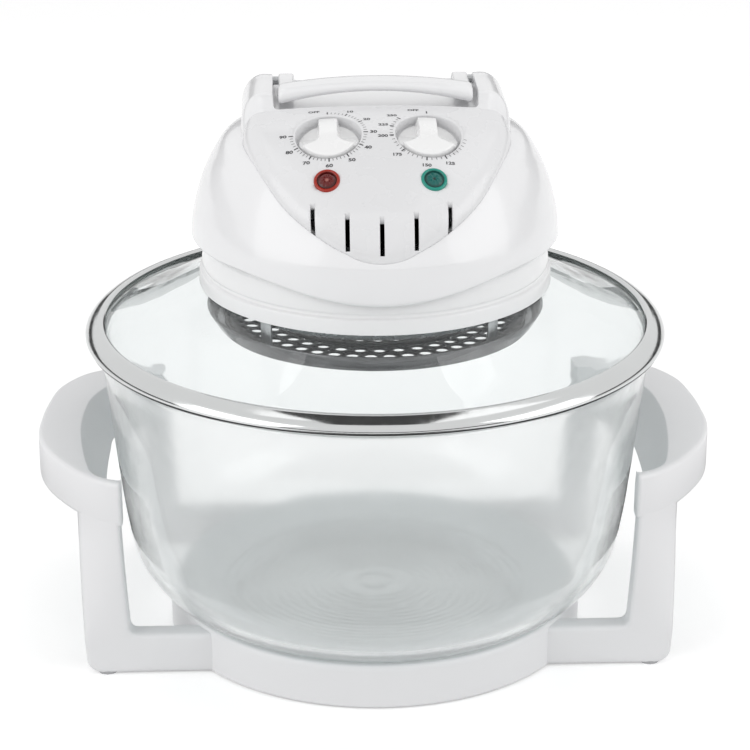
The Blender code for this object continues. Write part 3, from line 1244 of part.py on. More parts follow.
def make_knob(side):
    """A disc with a raised bar, sunk in its well, and the shaft that it turns."""
    name = "timer" if side < 0 else "temperature"
    frame = panel_frame(True, side * KNOB_X, KNOB_Y, KNOB_RADIUS)
    under = GAP - WELL_DEPTH
    top = under + KNOB_DISC
    disc = [
        (0.0, top), (KNOB_RADIUS - KNOB_DISC / 4, top), (KNOB_RADIUS, top - KNOB_DISC / 4), (KNOB_RADIUS, under),
        (0.0, under),
    ]
    knob = turned(name + "_knob", disc, "knob_plastic", steps=WELL_SIDES, closed=False)
    knob.matrix_world = frame
    bar = [(x * KNOB_RADIUS, y * KNOB_RADIUS) for x, y in KNOB_BAR_SHARES]
    middle, half = (top + KNOB_BAR_HEIGHT) / 2, (KNOB_BAR_HEIGHT - top) / 2 + KNOB_DISC / 4
    join(knob, outline_plate(name + "_bar", bar, half, None,
                             frame @ Matrix.Translation((0, 0, middle - KNOB_DISC / 4))))
    socket_top = under + SHAFT_BITE
    cut(knob, local_rod(name + "_socket", frame, SHAFT_RADIUS + GAP, under - OVERRUN, socket_top, None, TINY_STEPS))
    body_top = -WELL_DEPTH - WELL_WALL - GAP
    local_rod(name + "_shaft", frame, SHAFT_RADIUS, body_top - SHAFT_BITE, socket_top - GAP, "zinc_steel", TINY_STEPS)
    if side < 0:
        body = box(
            "timer_mechanism", (-TIMER_SIDE / 2, -TIMER_SIDE / 2, body_top - TIMER_HEIGHT),
            (TIMER_SIDE / 2, TIMER_SIDE / 2, body_top), "zinc_steel",
        )
        place_in(frame, body)
    else:
        body = local_rod("thermostat", frame, THERMOSTAT_RADIUS, body_top - THERMOSTAT_HEIGHT, body_top, "ceramic")
    cut(body, local_rod(name + "_bearing", frame, SHAFT_RADIUS + 2 * GAP, body_top - SHAFT_BITE - GAP,
                        body_top + OVERRUN, None, TINY_STEPS))


def make_lamp(side):
    """A coloured pilot lens pressed in its hole, with its neon bulb behind."""
    name = "red" if side < 0 else "green"
    frame = panel_frame(True, side * LAMP_X, LAMP_Y, LAMP_RADIUS)
    foot = LENS_LIFT
    lens = [
        (r * LAMP_RADIUS, foot + LAMP_FLANGE + z * LAMP_DOME) for r, z in LENS_SHARES
    ]
    lens += [(LAMP_RADIUS, foot), (LAMP_STEM_RADIUS, foot), (LAMP_STEM_RADIUS, -LAMP_STEM_LENGTH)]
    lens += [(0.0, -LAMP_STEM_LENGTH)]
    turned(name + "_lamp_lens", lens, name + "_lens", steps=SMALL_STEPS, closed=False).matrix_world = frame
    start = -LAMP_STEM_LENGTH - GAP
    local_rod(name + "_neon_bulb", frame, NEON_RADIUS, start - NEON_LENGTH, start, "clear_glass", TINY_STEPS)


def make_power_inlet():
    """The appliance inlet: a flanged box with three blades standing in its socket."""
    face = INLET_FACE_Y + GAP
    outer = face + INLET_FLANGE_SHEET
    inlet = box(
        "power_inlet", (-INLET_WIDTH / 2, outer - INLET_DEPTH, INLET_Z - INLET_HEIGHT / 2),
        (INLET_WIDTH / 2, outer, INLET_Z + INLET_HEIGHT / 2), "black_plastic",
    )
    join(inlet, box(
        "inlet_flange", (-INLET_WIDTH / 2 - INLET_FLANGE, face, INLET_Z - INLET_HEIGHT / 2 - INLET_FLANGE),
        (INLET_WIDTH / 2 + INLET_FLANGE, outer, INLET_Z + INLET_HEIGHT / 2 + INLET_FLANGE),
    ))
    floor_y = outer - SOCKET_DEPTH
    cut(inlet, box(
        "inlet_socket", (SOCKET_WALL - INLET_WIDTH / 2, floor_y, INLET_Z + SOCKET_WALL - INLET_HEIGHT / 2),
        (INLET_WIDTH / 2 - SOCKET_WALL, outer + OVERRUN, INLET_Z + INLET_HEIGHT / 2 - SOCKET_WALL),
    ))
    for i in (-1, 0, 1):
        z = INLET_Z + (BLADE_TALL / 2 if i == 0 else -BLADE_TALL / 4)
        join(inlet, box(
            f"inlet_blade_{i + 2}", (i * BLADE_PITCH - BLADE_WIDTH / 2, floor_y - SOCKET_WALL / 2, z - BLADE_TALL / 2),
            (i * BLADE_PITCH + BLADE_WIDTH / 2, floor_y + BLADE_LENGTH, z + BLADE_TALL / 2),
        ))


make_base_ring()
make_brackets()
make_feet()
make_bowl()
make_lid()
make_collar()
make_heater()
make_guard()
make_motor()
make_fan("hot_air_fan", HOT_FAN_RADIUS, HOT_FAN_Z, HOT_FAN_HEIGHT, 8, True)
make_fan("cooling_fan", COOL_FAN_RADIUS, COOL_FAN_Z, COOL_FAN_HEIGHT, 6, False)
make_dome()
make_housing_screws()
make_control_panel()
make_rear_panel()
make_saddle()
make_handle()
make_switch()
for lamp_side in (-1, 1):
    make_knob(lamp_side)
    make_lamp(lamp_side)
make_power_inlet()
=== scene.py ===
import math

import bmesh
import bpy
import numpy as np
from mathutils import Matrix, Vector


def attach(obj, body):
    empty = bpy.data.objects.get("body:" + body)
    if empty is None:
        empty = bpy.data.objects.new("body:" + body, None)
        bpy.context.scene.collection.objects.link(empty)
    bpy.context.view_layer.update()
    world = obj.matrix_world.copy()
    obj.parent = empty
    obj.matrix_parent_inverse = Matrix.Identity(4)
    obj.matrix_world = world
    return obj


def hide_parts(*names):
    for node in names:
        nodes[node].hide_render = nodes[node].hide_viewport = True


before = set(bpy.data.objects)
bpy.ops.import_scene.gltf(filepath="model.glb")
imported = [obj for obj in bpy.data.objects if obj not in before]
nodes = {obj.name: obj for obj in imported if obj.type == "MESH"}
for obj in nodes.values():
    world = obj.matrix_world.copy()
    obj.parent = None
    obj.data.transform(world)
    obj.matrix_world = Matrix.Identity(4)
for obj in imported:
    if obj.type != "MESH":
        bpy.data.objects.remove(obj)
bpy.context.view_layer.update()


# Stand: a hollow ring under the bowl and two grips on four posts, moulded in
# satin white plastic. Each grip is one moulding with its front and rear leg,
# whose arms end in the ring's wall; its inner side is a cove for the fingers.

def feed(tree, socket, value):
    """Another node's output linked to a socket, or a value set on it."""
    if isinstance(value, bpy.types.NodeSocket):
        tree.links.new(value, socket)
    else:
        socket.default_value = value


def node(tree, kind, settings=None, **sockets):
    """A new shader node: first its settings, then its sockets by name, with _ for a blank."""
    made = tree.nodes.new("ShaderNode" + kind)
    for setting, value in (settings or {}).items():
        setattr(made, setting, value)
    for name, value in sockets.items():
        feed(tree, made.inputs[name.replace("_", " ")], value)
    return made


def new_paint(name, **sockets):
    """A material with these values on its shader, and its tree, shader and object coordinates."""
    made = bpy.data.materials.new(name)
    made.use_nodes = True
    tree = made.node_tree
    shader = tree.nodes["Principled BSDF"]
    for socket, value in sockets.items():
        shader.inputs[socket.replace("_", " ")].default_value = value
    return made, tree, shader, node(tree, "TexCoord").outputs["Object"]


def cloud(tree, place, scale, detail):
    """The factor of a noise over object coordinates, in clouds of one metre over the scale."""
    return node(tree, "TexNoise", Vector=place, Scale=scale, Detail=detail).outputs["Fac"]


def shade(colour, factor, lift=0.0):
    """A colour made darker or lighter, and kept under full white."""
    return (*(min(c * factor + lift, 0.97) for c in colour), 1)


def mixed(tree, factor, one, two):
    """The colour between two at a factor."""
    return node(tree, "Mix", {"data_type": "RGBA"}, Factor=factor, A=one, B=two).outputs["Result"]


def drifting(tree, place, colour, patch, drift):
    """A colour that drifts in clouds between a darker and a lighter shade of it."""
    darker, lighter = shade(colour, 1 - drift), shade(colour, 1 + drift)
    return mixed(tree, cloud(tree, place, patch, 3.0), darker, lighter)


def spread_roughness(tree, shader, place, scale, low, high):
    """Roughness from low to high over the middle of a cloud."""
    spread = node(tree, "MapRange", Value=cloud(tree, place, scale, 4.0),
                  From_Min=0.3, From_Max=0.7, To_Min=low, To_Max=high)
    feed(tree, shader.inputs["Roughness"], spread.outputs["Result"])


def lift_surface(tree, shader, height, relief):
    """A bump this deep in metres."""
    bump = node(tree, "Bump", Distance=relief, Height=height)
    feed(tree, shader.inputs["Normal"], bump.outputs["Normal"])


def plastic(name, colour, rough, patch=24.0, drift=0.012, grain=2600.0, relief=0.000012,
            worn=0.05, coat=0.0):
    """A moulded plastic. The colour drifts in soft patches and pales on sharp edges where hands
    wear it, the roughness follows a finer cloud, and a fine grain lifts the surface."""
    made, tree, shader, place = new_paint(name, Coat_Weight=coat, Coat_Roughness=0.06)
    body = drifting(tree, place, colour, patch, drift)
    edge = node(tree, "MapRange", Value=node(tree, "NewGeometry").outputs["Pointiness"],
                From_Min=0.52, From_Max=0.62, To_Max=worn)
    paled = mixed(tree, edge.outputs["Result"], body, shade(colour, 1.25, 0.03))
    feed(tree, shader.inputs["Base Color"], paled)
    spread_roughness(tree, shader, place, patch * 5, rough * 0.93, rough * 1.1)
    lift_surface(tree, shader, cloud(tree, place, grain, 2.0), relief)
    return made


def arc_length(points):
    """The way along a broken line to each of its points."""
    return np.concatenate([[0.0], np.cumsum(np.linalg.norm(np.diff(points, axis=0), axis=1))])


def smooth_line(points, count):
    """A cubic curve through the points: chord length is the parameter, and each slope is the one
    of its neighbours."""
    points = np.array(points, float)
    along = arc_length(points)
    slope = np.gradient(points, along, axis=0)
    at = np.linspace(0.0, along[-1], count)
    i = np.clip(np.searchsorted(along, at, side="right") - 1, 0, len(along) - 2)
    length = (along[i + 1] - along[i])[:, None]
    u = (at - along[i])[:, None] / length
    return (points[i] * (1 - 3 * u**2 + 2 * u**3) + points[i + 1] * (3 * u**2 - 2 * u**3)
            + length * (slope[i] * (u - 2 * u**2 + u**3) + slope[i + 1] * (u**3 - u**2)))


def filleted(points, radius, steps=5, closed=False):
    """A broken line whose corners are quadratic curves that start and end a radius away, or less
    than half a side."""
    points = np.array(points, float)
    if closed:
        points = np.concatenate([points[-1:], points, points[:1]])
    side = np.linalg.norm(np.diff(points, axis=0), axis=1)
    reach = np.minimum(radius, 0.48 * np.minimum(side[:-1], side[1:]))[:, None]
    back = points[1:-1] + (points[:-2] - points[1:-1]) / side[:-1, None] * reach
    on = points[1:-1] + (points[2:] - points[1:-1]) / side[1:, None] * reach
    u = np.linspace(0.0, 1.0, steps + 1)[None, :, None]
    curve = back[:, None] * (1 - u)**2 + points[1:-1, None] * 2 * u * (1 - u) + on[:, None] * u**2
    curve = curve.reshape(-1, points.shape[1])
    return curve if closed else np.concatenate([points[:1], curve, points[-1:]])


def linked(name, data):
    """A new object of this data, in the scene."""
    made = bpy.data.objects.new(name, data)
    bpy.context.scene.collection.objects.link(made)
    return made


def grid_piece(name, grid, material, around=True, ends=(False, False), sharp=35):
    """A surface of quads on a grid of points [i, j]. Around joins the last j to the first, ends
    fills the first or last i with a face, doubles are merged so that poles close, and a closed
    shell's faces turn outwards."""
    grid = np.asarray(grid, float)
    rows, columns = grid.shape[:2]
    index = np.arange(rows * columns).reshape(rows, columns)
    nearby = np.roll(index, -1, axis=1) if around else index[:, 1:]
    first = index if around else index[:, :-1]
    quads = np.stack([first[:-1], nearby[:-1], nearby[1:], first[1:]], axis=-1)
    faces = quads.reshape(-1, 4).tolist()
    faces += [row.tolist() for row, filled in zip((index[0][::-1], index[-1]), ends) if filled]
    mesh = bpy.data.meshes.new(name)
    mesh.from_pydata(grid.reshape(-1, 3), [], faces)
    return closed_mesh(name, mesh, material, sharp)


def closed_mesh(name, mesh, material, sharp=35):
    """The mesh as an object: doubles merged, faces turned outwards, smooth but for edges over the
    sharp angle."""
    same_place = 0.0000005
    work = bmesh.new()
    work.from_mesh(mesh)
    bmesh.ops.remove_doubles(work, verts=work.verts, dist=same_place)
    bmesh.ops.dissolve_degenerate(work, edges=work.edges, dist=same_place)
    bmesh.ops.recalc_face_normals(work, faces=work.faces)
    work.to_mesh(mesh)
    work.free()
    mesh.shade_smooth()
    mesh.set_sharp_from_angle(angle=math.radians(sharp))
    mesh.materials.clear()
    mesh.materials.append(material)
    return linked(name, mesh)


def turned(name, profile, material, steps=192, closed=True, sharp=35):
    """A profile of radius and height carried round Z: (r cos a, r sin a, z). A closed profile
    makes a ring."""
    profile = np.asarray(profile, float)
    if closed:
        profile = np.concatenate([profile, profile[:1]])
    angle = np.linspace(0.0, math.tau, steps, endpoint=False)
    r, z = profile[:, :1], profile[:, 1:]
    grid = np.stack([r * np.cos(angle), r * np.sin(angle), z + 0 * angle], axis=-1)
    return grid_piece(name, grid, material, sharp=sharp)


def mirrored(piece, name):
    """The same mesh with X turned over and its faces turned back outwards."""
    mesh = piece.data.copy()
    mesh.transform(Matrix.Scale(-1.0, 4, (1.0, 0.0, 0.0)))
    mesh.flip_normals()
    return linked(name, mesh)


def fit(piece, body, slot, *stands_for):
    """The piece rides on its body and stands for its CAD nodes, which are hidden. The slot is not
    used."""
    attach(piece, body)
    if stands_for:
        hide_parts(*stands_for)
    return piece


satin_white = plastic("satin_white", (0.79, 0.79, 0.80), 0.40, patch=18.0, worn=0.10)

BOWL_R, BOWL_H, BOWL_FOOT = 0.160, 0.1654, 0.0183
bowl_line = smooth_line([
    (BOWL_R * r, BOWL_FOOT + BOWL_H * h) for r, h in (
        (1.0, 1.0), (0.988, 0.89), (0.964, 0.675), (0.944, 0.506), (0.9225, 0.349), (0.8875, 0.204),
        (0.8406, 0.131), (0.778, 0.077), (0.706, 0.0345), (0.631, 0.007), (0.581, 0.0))
], 90)

RING_R, RING_BORE, RING_FOOT, RING_WALL = 0.123, 0.089, 0.0008, 0.003
SEAT_GAP = 0.00035
seat = bowl_line[(bowl_line[:, 0] < RING_R - 0.004)][::-1] + (0.0, -SEAT_GAP)
seat = seat[seat[:, 0] > RING_BORE + 0.004]
lip_z = seat[-1, 1] + 0.0008
bore_side = [(RING_BORE + 0.002, 0.010), (RING_BORE, RING_FOOT), (RING_BORE, 0.0178), seat[0]]
outer_side = [seat[-1], (RING_R - 0.0015, lip_z), (RING_R, lip_z - 0.003), (RING_R, RING_FOOT)]
hollow = [(RING_R - RING_WALL, RING_FOOT), (RING_R - RING_WALL, lip_z - 0.006),
          (RING_BORE + RING_WALL, 0.0146), (RING_BORE + RING_WALL, RING_FOOT)]
ring_profile = np.concatenate([
    filleted(bore_side, 0.0012)[1:], seat[1:], filleted(outer_side + hollow, 0.0016)[1:],
])
base_ring = turned("stand_ring", ring_profile, satin_white)
fit(base_ring, "stand", "stand_plastic", "base_ring")


def drawn_in(outline, inset):
    """A closed outline moved inwards, or outwards where the inset is negative, square to the chord
    of its neighbours."""
    ahead, behind = np.roll(outline, -1, axis=0), np.roll(outline, 1, axis=0)
    chord = (ahead - behind) / np.linalg.norm(ahead - behind, axis=1)[:, None]
    area = (outline[:, 0] * ahead[:, 1] - ahead[:, 0] * outline[:, 1]).sum()
    inwards = np.stack([-chord[:, 1], chord[:, 0]], axis=1)
    return outline + inset * math.copysign(1.0, area) * inwards


def slab(name, outline, levels, material, place=None, sharp=35):
    """A closed outline at several levels of inset and height, with both ends filled: outline -
    inset at height, and once more a little smaller at both ends, so that their edges stay crisp.
    The place is a 4 x 4 matrix that the finished points are taken through."""
    smaller = 0.0004
    first, last = levels[0], levels[-1]
    levels = [(first[0] + smaller, first[1]), *levels, (last[0] + smaller, last[1])]
    grid = np.stack([
        np.concatenate([drawn_in(outline, inset), np.full((len(outline), 1), height)], axis=1)
        for inset, height in levels
    ])
    return grid_piece(name, carried(grid, place), material, ends=(True, True), sharp=sharp)


def carried(points, place):
    """Points taken through a 4 x 4 matrix."""
    if place is None:
        return points
    place = np.array(place, float)
    return points @ place[:3, :3].T + place[:3, 3]


def joined(name, *pieces):
    """Closed shells of one moulding as one mesh; they run into each other where the moulding is
    one."""
    mesh = bpy.data.meshes.new(name)
    work = bmesh.new()
    for piece in pieces:
        work.from_mesh(piece.data)
    work.to_mesh(mesh)
    work.free()
    mesh.materials.append(pieces[0].data.materials[0])
    for piece in pieces:
        bpy.data.objects.remove(piece)
    return linked(name, mesh)


GRIP_X, GRIP_Y, GRIP_TOP, GRIP_LOW, SOFT_EDGE = 0.199, 0.190, 0.120, 0.093, 0.003
SHELF_Z, COVE_Z = 0.1105, 0.1010


def grip_line(*shares):
    """A smooth line along the grip, through shares of its reach in X and Y."""
    return smooth_line([(x * GRIP_X, y * GRIP_Y) for x, y in shares], 90)


outer_edge = grip_line(
    (0.7357, -0.396), (0.79, -0.368), (0.859, -0.300), (0.92, -0.208), (0.975, -0.09), (1.0, 0.03),
    (1.0, 0.15), (0.99, 0.27), (0.955, 0.43), (0.870, 0.545), (0.770, 0.578), (0.664, 0.578))
ridge = grip_line(
    (0.7357, -0.366), (0.788, -0.340), (0.822, -0.302), (0.840, -0.235), (0.856, -0.14),
    (0.869, -0.03), (0.876, 0.08), (0.873, 0.19), (0.859, 0.30), (0.804, 0.418), (0.740, 0.468),
    (0.664, 0.482))
wall_top = grip_line(
    (0.7357, -0.318), (0.765, -0.318), (0.793, -0.296), (0.815, -0.235), (0.831, -0.14),
    (0.841, -0.03), (0.846, 0.08), (0.843, 0.19), (0.832, 0.30), (0.786, 0.402), (0.728, 0.452),
    (0.664, 0.472))
wall_foot = grip_line(
    (0.7357, -0.314), (0.760, -0.310), (0.776, -0.286), (0.786, -0.225), (0.792, -0.14),
    (0.796, -0.03), (0.798, 0.08), (0.797, 0.19), (0.792, 0.30), (0.762, 0.385), (0.714, 0.438),
    (0.664, 0.462))


def rounded_corner(before, corner, after, radius, steps=4):
    """A quarter curve at each station: back and on along both sides by the radius, with the corner
    as its control point."""
    back = before - corner
    on = after - corner
    back = corner + back / np.linalg.norm(back, axis=1)[:, None] * radius
    on = corner + on / np.linalg.norm(on, axis=1)[:, None] * radius
    return [back * (1 - u)**2 + corner * 2 * u * (1 - u) + on * u**2
            for u in np.linspace(0.0, 1.0, steps + 1)]


def between(one, two, steps):
    """Points in even steps from one line of stations to another, without its ends."""
    return [one + (two - one) * u for u in np.linspace(0.0, 1.0, steps + 1)[1:-1]]


def at_height(line, z):
    """A line of (x, y) at one height."""
    return np.concatenate([line, np.full((len(line), 1), z)], axis=1)


def crescent_grip(name):
    """The grip as a section carried from its front end to its rear end: a flat top, a soft outer
    edge, an upright outer wall, a soft lower edge, then an inner wall that leans out as it rises,
    and a sloping band up to the inner edge. At both ends the whole section draws in along a
    quarter circle."""
    turn = np.linspace(0.0, math.pi / 2, 7)[:-1]
    drawn = SOFT_EDGE * (1 - np.sin(turn))
    forth = SOFT_EDGE * (1 - np.cos(turn))[:, None]
    for_ends = np.concatenate([drawn, np.zeros(len(outer_edge) - 2), drawn[::-1]])
    lines = []
    for line in (outer_edge, ridge, wall_top, wall_foot):
        first, last = line[1] - line[0], line[-1] - line[-2]
        first, last = first / np.linalg.norm(first), last / np.linalg.norm(last)
        start, end = line[0] + first * forth, line[-1] - last * forth[::-1]
        lines.append(np.concatenate([start, line[1:-1], end]))
    centre = (lines[0] + lines[3]) / 2
    outer, inner, shelf, foot = (
        line + (centre - line) / np.linalg.norm(centre - line, axis=1)[:, None] * for_ends[:, None]
        for line in lines)
    a, b = at_height(outer, GRIP_TOP), at_height(inner, GRIP_TOP)
    c, d, e = at_height(shelf, SHELF_Z), at_height(foot, GRIP_LOW), at_height(outer, GRIP_LOW)
    cove = at_height(foot * 0.45 + shelf * 0.55, COVE_Z)
    top_edge, ridge_edge = rounded_corner(e, a, b, SOFT_EDGE), rounded_corner(a, b, c, 0.0008)
    ring = top_edge + between(ridge_edge[0], top_edge[-1], 4)[::-1] + ridge_edge
    ring += rounded_corner(b, c, cove, 0.0022) + [cove] + rounded_corner(cove, d, e, 0.0018)
    ring += between(d + (e - d) * 0.1, e + (d - e) * 0.15, 3) + rounded_corner(d, e, a, SOFT_EDGE)
    return grid_piece(name, np.stack(ring, axis=1), satin_white, ends=(True, True), sharp=42)


POST_LEAN, POST_TOP, ARM_TOP, HEEL, POST_EDGE = 0.004, 0.108, 0.025, 0.008, 0.0030


def post_lean(z):
    """How far a post has leaned out at a height: 1 - (1 - z / top)^2 of its whole lean."""
    return POST_LEAN * (1 - (1 - np.clip(z / POST_TOP, 0, 1))**2)


def arc_points(across, up, radius, angles):
    """Points of a circle: (across + r cos a, up + r sin a)."""
    return np.stack([across + radius * np.cos(angles), up + radius * np.sin(angles)], axis=1)


def leg(name, front_y, back_y, inner_x, outer_x, follow):
    """An L of arm and post. Stations run from the ring along the arm, round the heel and up the
    post; each pairs a point of its lower and outer side with one of its upper and inner side, and
    carries a rectangle with soft corners between them. The arm's end follows the ring's wall,
    x = sqrt(r^2 - y^2). Where it follows, the front face runs back with the grip's outer edge."""
    heel = arc_points(outer_x - HEEL, RING_FOOT + HEEL, HEEL, np.linspace(-math.pi / 2, 0.0, 7))
    bend = [(inner_x - 0.02, ARM_TOP), (inner_x, ARM_TOP), (inner_x, ARM_TOP + 0.02)]
    bend = filleted(bend, 0.005, 6)[1:-1]
    share = np.linspace(0.12, 1.0, 12)
    up_outer = np.stack([outer_x + 0 * share,
                         (RING_FOOT + HEEL) + (POST_TOP - RING_FOOT - HEEL) * share], axis=1)
    up_inner = np.stack([inner_x + 0.0016 * share,
                         (ARM_TOP + 0.006) + (POST_TOP - ARM_TOP - 0.006) * share], axis=1)
    arm_x = (0.100, 0.118, inner_x - 0.010)
    low = np.concatenate([[(x, RING_FOOT) for x in arm_x], heel, up_outer])
    high = np.concatenate([[(x, ARM_TOP) for x in arm_x], bend, up_inner])
    low[:, 0] += post_lean(low[:, 1]) - post_lean(0.0)
    high[:, 0] += post_lean(high[:, 1]) - post_lean(ARM_TOP)
    quarter = np.linspace(0.0, math.pi / 2, 5)
    near, far = POST_EDGE * (1 - np.sin(quarter)), POST_EDGE * (1 - np.cos(quarter))
    width = np.linalg.norm(high - low, axis=1)
    soft = POST_EDGE / width
    face = [soft + (1 - 2 * soft) * u for u in np.linspace(0.0, 1.0, 9)[1:-1]]
    loop = [(far[k] / width, front_y + near[k]) for k in range(5)]
    loop += [(u, front_y) for u in face]
    loop += [(1 - far[k] / width, front_y + near[k]) for k in range(4, -1, -1)]
    loop += [(1 - far[k] / width, back_y - near[k]) for k in range(5)]
    loop += [(u, back_y) for u in face[::-1]]
    loop += [(far[k] / width, back_y - near[k]) for k in range(4, -1, -1)]
    grid = []
    for share, y in loop:
        flat = low + (high - low) * np.reshape(share, (-1, 1))
        out = flat[:, 0] + POST_LEAN - post_lean(flat[:, 1])
        shift = np.interp(out, follow[0], follow[1]) * (1.0 if y < (front_y + back_y) / 2 else 0.55)
        shift = shift * np.clip((flat[:, 1] - 0.020) / 0.065, 0.0, 1.0)
        line = np.stack([flat[:, 0], y + shift, flat[:, 1]], axis=1)
        line[0, 0] = math.sqrt((RING_R - 0.0012)**2 - y**2)
        grid.append(line)
    return grid_piece(name, np.stack(grid, axis=1), satin_white, ends=(True, True), sharp=42)


def averaged(values, width):
    """The running mean over an odd number of values, both ends held."""
    half = width // 2
    padded = np.concatenate([np.full(half, values[0]), values, np.full(half, values[-1])])
    return np.convolve(padded, np.ones(width) / width, "valid")


PROUD = 0.00003
edge_x = np.linspace(0.120, 0.176, 57)
edge_back = np.interp(edge_x, outer_edge[:60, 0], outer_edge[:60, 1]) - outer_edge[0, 1]
edge_back = averaged(edge_back, 7)
right_bracket = joined(
    "right_grip_and_legs", crescent_grip("grip"),
    leg("front_leg", front_y=outer_edge[0, 1] - PROUD, back_y=-0.0610, inner_x=0.1440,
        outer_x=0.1692, follow=(edge_x, edge_back)),
    leg("rear_leg", front_y=0.0930, back_y=outer_edge[-1, 1] + PROUD, inner_x=0.1285,
        outer_x=0.1500, follow=(edge_x, 0 * edge_x)),
)
left_bracket = mirrored(right_bracket, "left_grip_and_legs")
fit(right_bracket, "stand", "stand_plastic", "right_bracket")
fit(left_bracket, "stand", "stand_plastic", "left_bracket")

rubber = plastic("pad_rubber", (0.42, 0.42, 0.43), 0.85, patch=90.0, grain=1500.0, relief=0.00006)
for corner in ("front_left", "front_right", "rear_left", "rear_right"):
    nodes["foot_pad_" + corner].material_slots[0].material = rubber


# Bowl: pressed heat-proof glass with a 5 mm wall, a rounded rim and faint rings
# in its floor. It stands loose in the ring and lifts straight out.

def number(tree, operation, one, two):
    """One number from two, each a value or another node's output."""
    made = node(tree, "Math", {"operation": operation})
    feed(tree, made.inputs[0], one)
    feed(tree, made.inputs[1], two)
    return made.outputs[0]


def either_ray(tree, *kinds):
    """1 for rays of these kinds, 0 for the others."""
    path = node(tree, "LightPath")
    seen = path.outputs[f"Is {kinds[0]} Ray"]
    for kind in kinds[1:]:
        seen = number(tree, "MAXIMUM", seen, path.outputs[f"Is {kind} Ray"])
    return seen


def glass(name, tint, density, clear_share=1.0, smooth=0.0, scratch=0.02):
    """Clear glass that darkens with the length of the way through it, with fine streaks in its
    gloss. What isn't clear is a pale bloom. Shadow rays and rays from dull surfaces go straight
    through, so that what stands behind it stays lit."""
    made, tree, shader, place = new_paint(
        name, Base_Color=(1.0, 1.0, 1.0, 1), Transmission_Weight=clear_share, IOR=1.48)
    spread_roughness(tree, shader, place, 140.0, smooth, scratch)
    lift_surface(tree, shader, cloud(tree, place, 22.0, 2.0), 0.00025)
    clear = node(tree, "BsdfTransparent", Color=(*(0.9 + 0.1 * c for c in tint), 1))
    soak = node(tree, "VolumeAbsorption", Color=(*tint, 1), Density=density)
    mix = node(tree, "MixShader", Fac=either_ray(tree, "Shadow", "Diffuse"))
    feed(tree, mix.inputs[1], shader.outputs["BSDF"])
    feed(tree, mix.inputs[2], clear.outputs["BSDF"])
    output = tree.nodes["Material Output"]
    feed(tree, output.inputs["Surface"], mix.outputs["Shader"])
    feed(tree, output.inputs["Volume"], soak.outputs["Volume"])
    return made


def offset_line(line, distance):
    """Each point of a line moved to its left by the distance, square to the chord of its
    neighbours."""
    chord = np.gradient(np.asarray(line, float), axis=0)
    chord /= np.linalg.norm(chord, axis=1)[:, None]
    return line + distance * np.stack([-chord[:, 1], chord[:, 0]], axis=1)


GREEN_GLASS = (0.66, 0.75, 0.75)
oven_glass = glass("oven_glass", GREEN_GLASS, density=42.0, clear_share=0.98)
pressed_glass = glass("pressed_glass", GREEN_GLASS, density=16.0, clear_share=0.935,
                      smooth=0.07, scratch=0.13)
WALL = 0.005
bowl_inner = offset_line(bowl_line, -WALL)
bowl_inner = bowl_inner[2:][bowl_inner[2:, 1] > BOWL_FOOT + WALL]
half_turn = np.linspace(0.0, math.pi, 11)
bowl_rim = arc_points(BOWL_R - WALL / 2, BOWL_FOOT + BOWL_H - WALL / 2, WALL / 2, half_turn)
floor_r = np.linspace(bowl_line[-1, 0], 0.0, 100)[1:]
middle_mark = 0.00030 * np.exp(-((floor_r - 0.0105) / 0.0018)**2)
outer_rings = 0.00015 * np.sin(floor_r * math.tau / 0.0055) * (floor_r > 0.02)
under = np.stack([floor_r, BOWL_FOOT + (middle_mark + outer_rings)], axis=1)
above = np.stack([floor_r, np.full(len(floor_r), BOWL_FOOT + WALL)], axis=1)
bowl_profile = np.concatenate([under[::-1], bowl_line[::-1][:-2], bowl_rim, bowl_inner, above])
bowl = turned("bowl_glass", bowl_profile, pressed_glass, steps=256, closed=False)
fit(bowl, "bowl", "clear_glass", "glass_bowl")


# Lid: a dished glass disc with a round hole for the heater head, a chromed
# steel band rolled over its edge, and a silicone seal that sits on the bowl.

HOLE_R, LID_REACH, LID_EDGE_Z, LID_DISH = 0.090, 0.0745, 0.184, 0.0364
CROWN = LID_EDGE_Z + LID_DISH
lid_line = smooth_line([(HOLE_R + LID_REACH * r, LID_EDGE_Z + LID_DISH * z) for r, z in (
    (0.0, 1.0), (0.1477, 0.885), (0.3354, 0.709), (0.510, 0.538), (0.671, 0.390), (0.8055, 0.283),
    (0.9028, 0.215), (1.0, 0.181))], 60)
lid_under = np.stack([lid_line[:, 0], np.maximum(lid_line[:, 1] - WALL, 0.1868)], axis=1)
hole_curl = np.stack([HOLE_R + 0.0012 * (1 - np.sin(half_turn)),
                      CROWN - WALL / 2 + WALL / 2 * np.cos(half_turn[::-1])], axis=1)
lid_profile = np.concatenate([hole_curl[1:-1], lid_line[1:], lid_under[::-1][:-1]])
lid_glass = turned("lid_glass", lid_profile, oven_glass, steps=256)
fit(lid_glass, "lid", "clear_glass", "glass_lid")


def metal(name, colour, rough, patch=40.0, drift=0.06, grain=900.0, relief=0.00001, brushed=None):
    """A metal whose colour and gloss drift in clouds; brushed puts turning marks round Z in it,
    of so many to the metre, in place of the grain."""
    made, tree, shader, place = new_paint(name, Metallic=1.0)
    feed(tree, shader.inputs["Base Color"], drifting(tree, place, colour, patch, drift))
    spread_roughness(tree, shader, place, patch * 6, rough * 0.75, rough * 1.35)
    if brushed:
        rings = {"wave_type": "RINGS", "rings_direction": "Z"}
        height = node(tree, "TexWave", rings, Vector=place, Scale=brushed, Distortion=1.5,
                      Detail_Scale=60.0).outputs["Fac"]
    else:
        height = cloud(tree, place, grain, 2.0)
    lift_surface(tree, shader, height, relief)
    return made


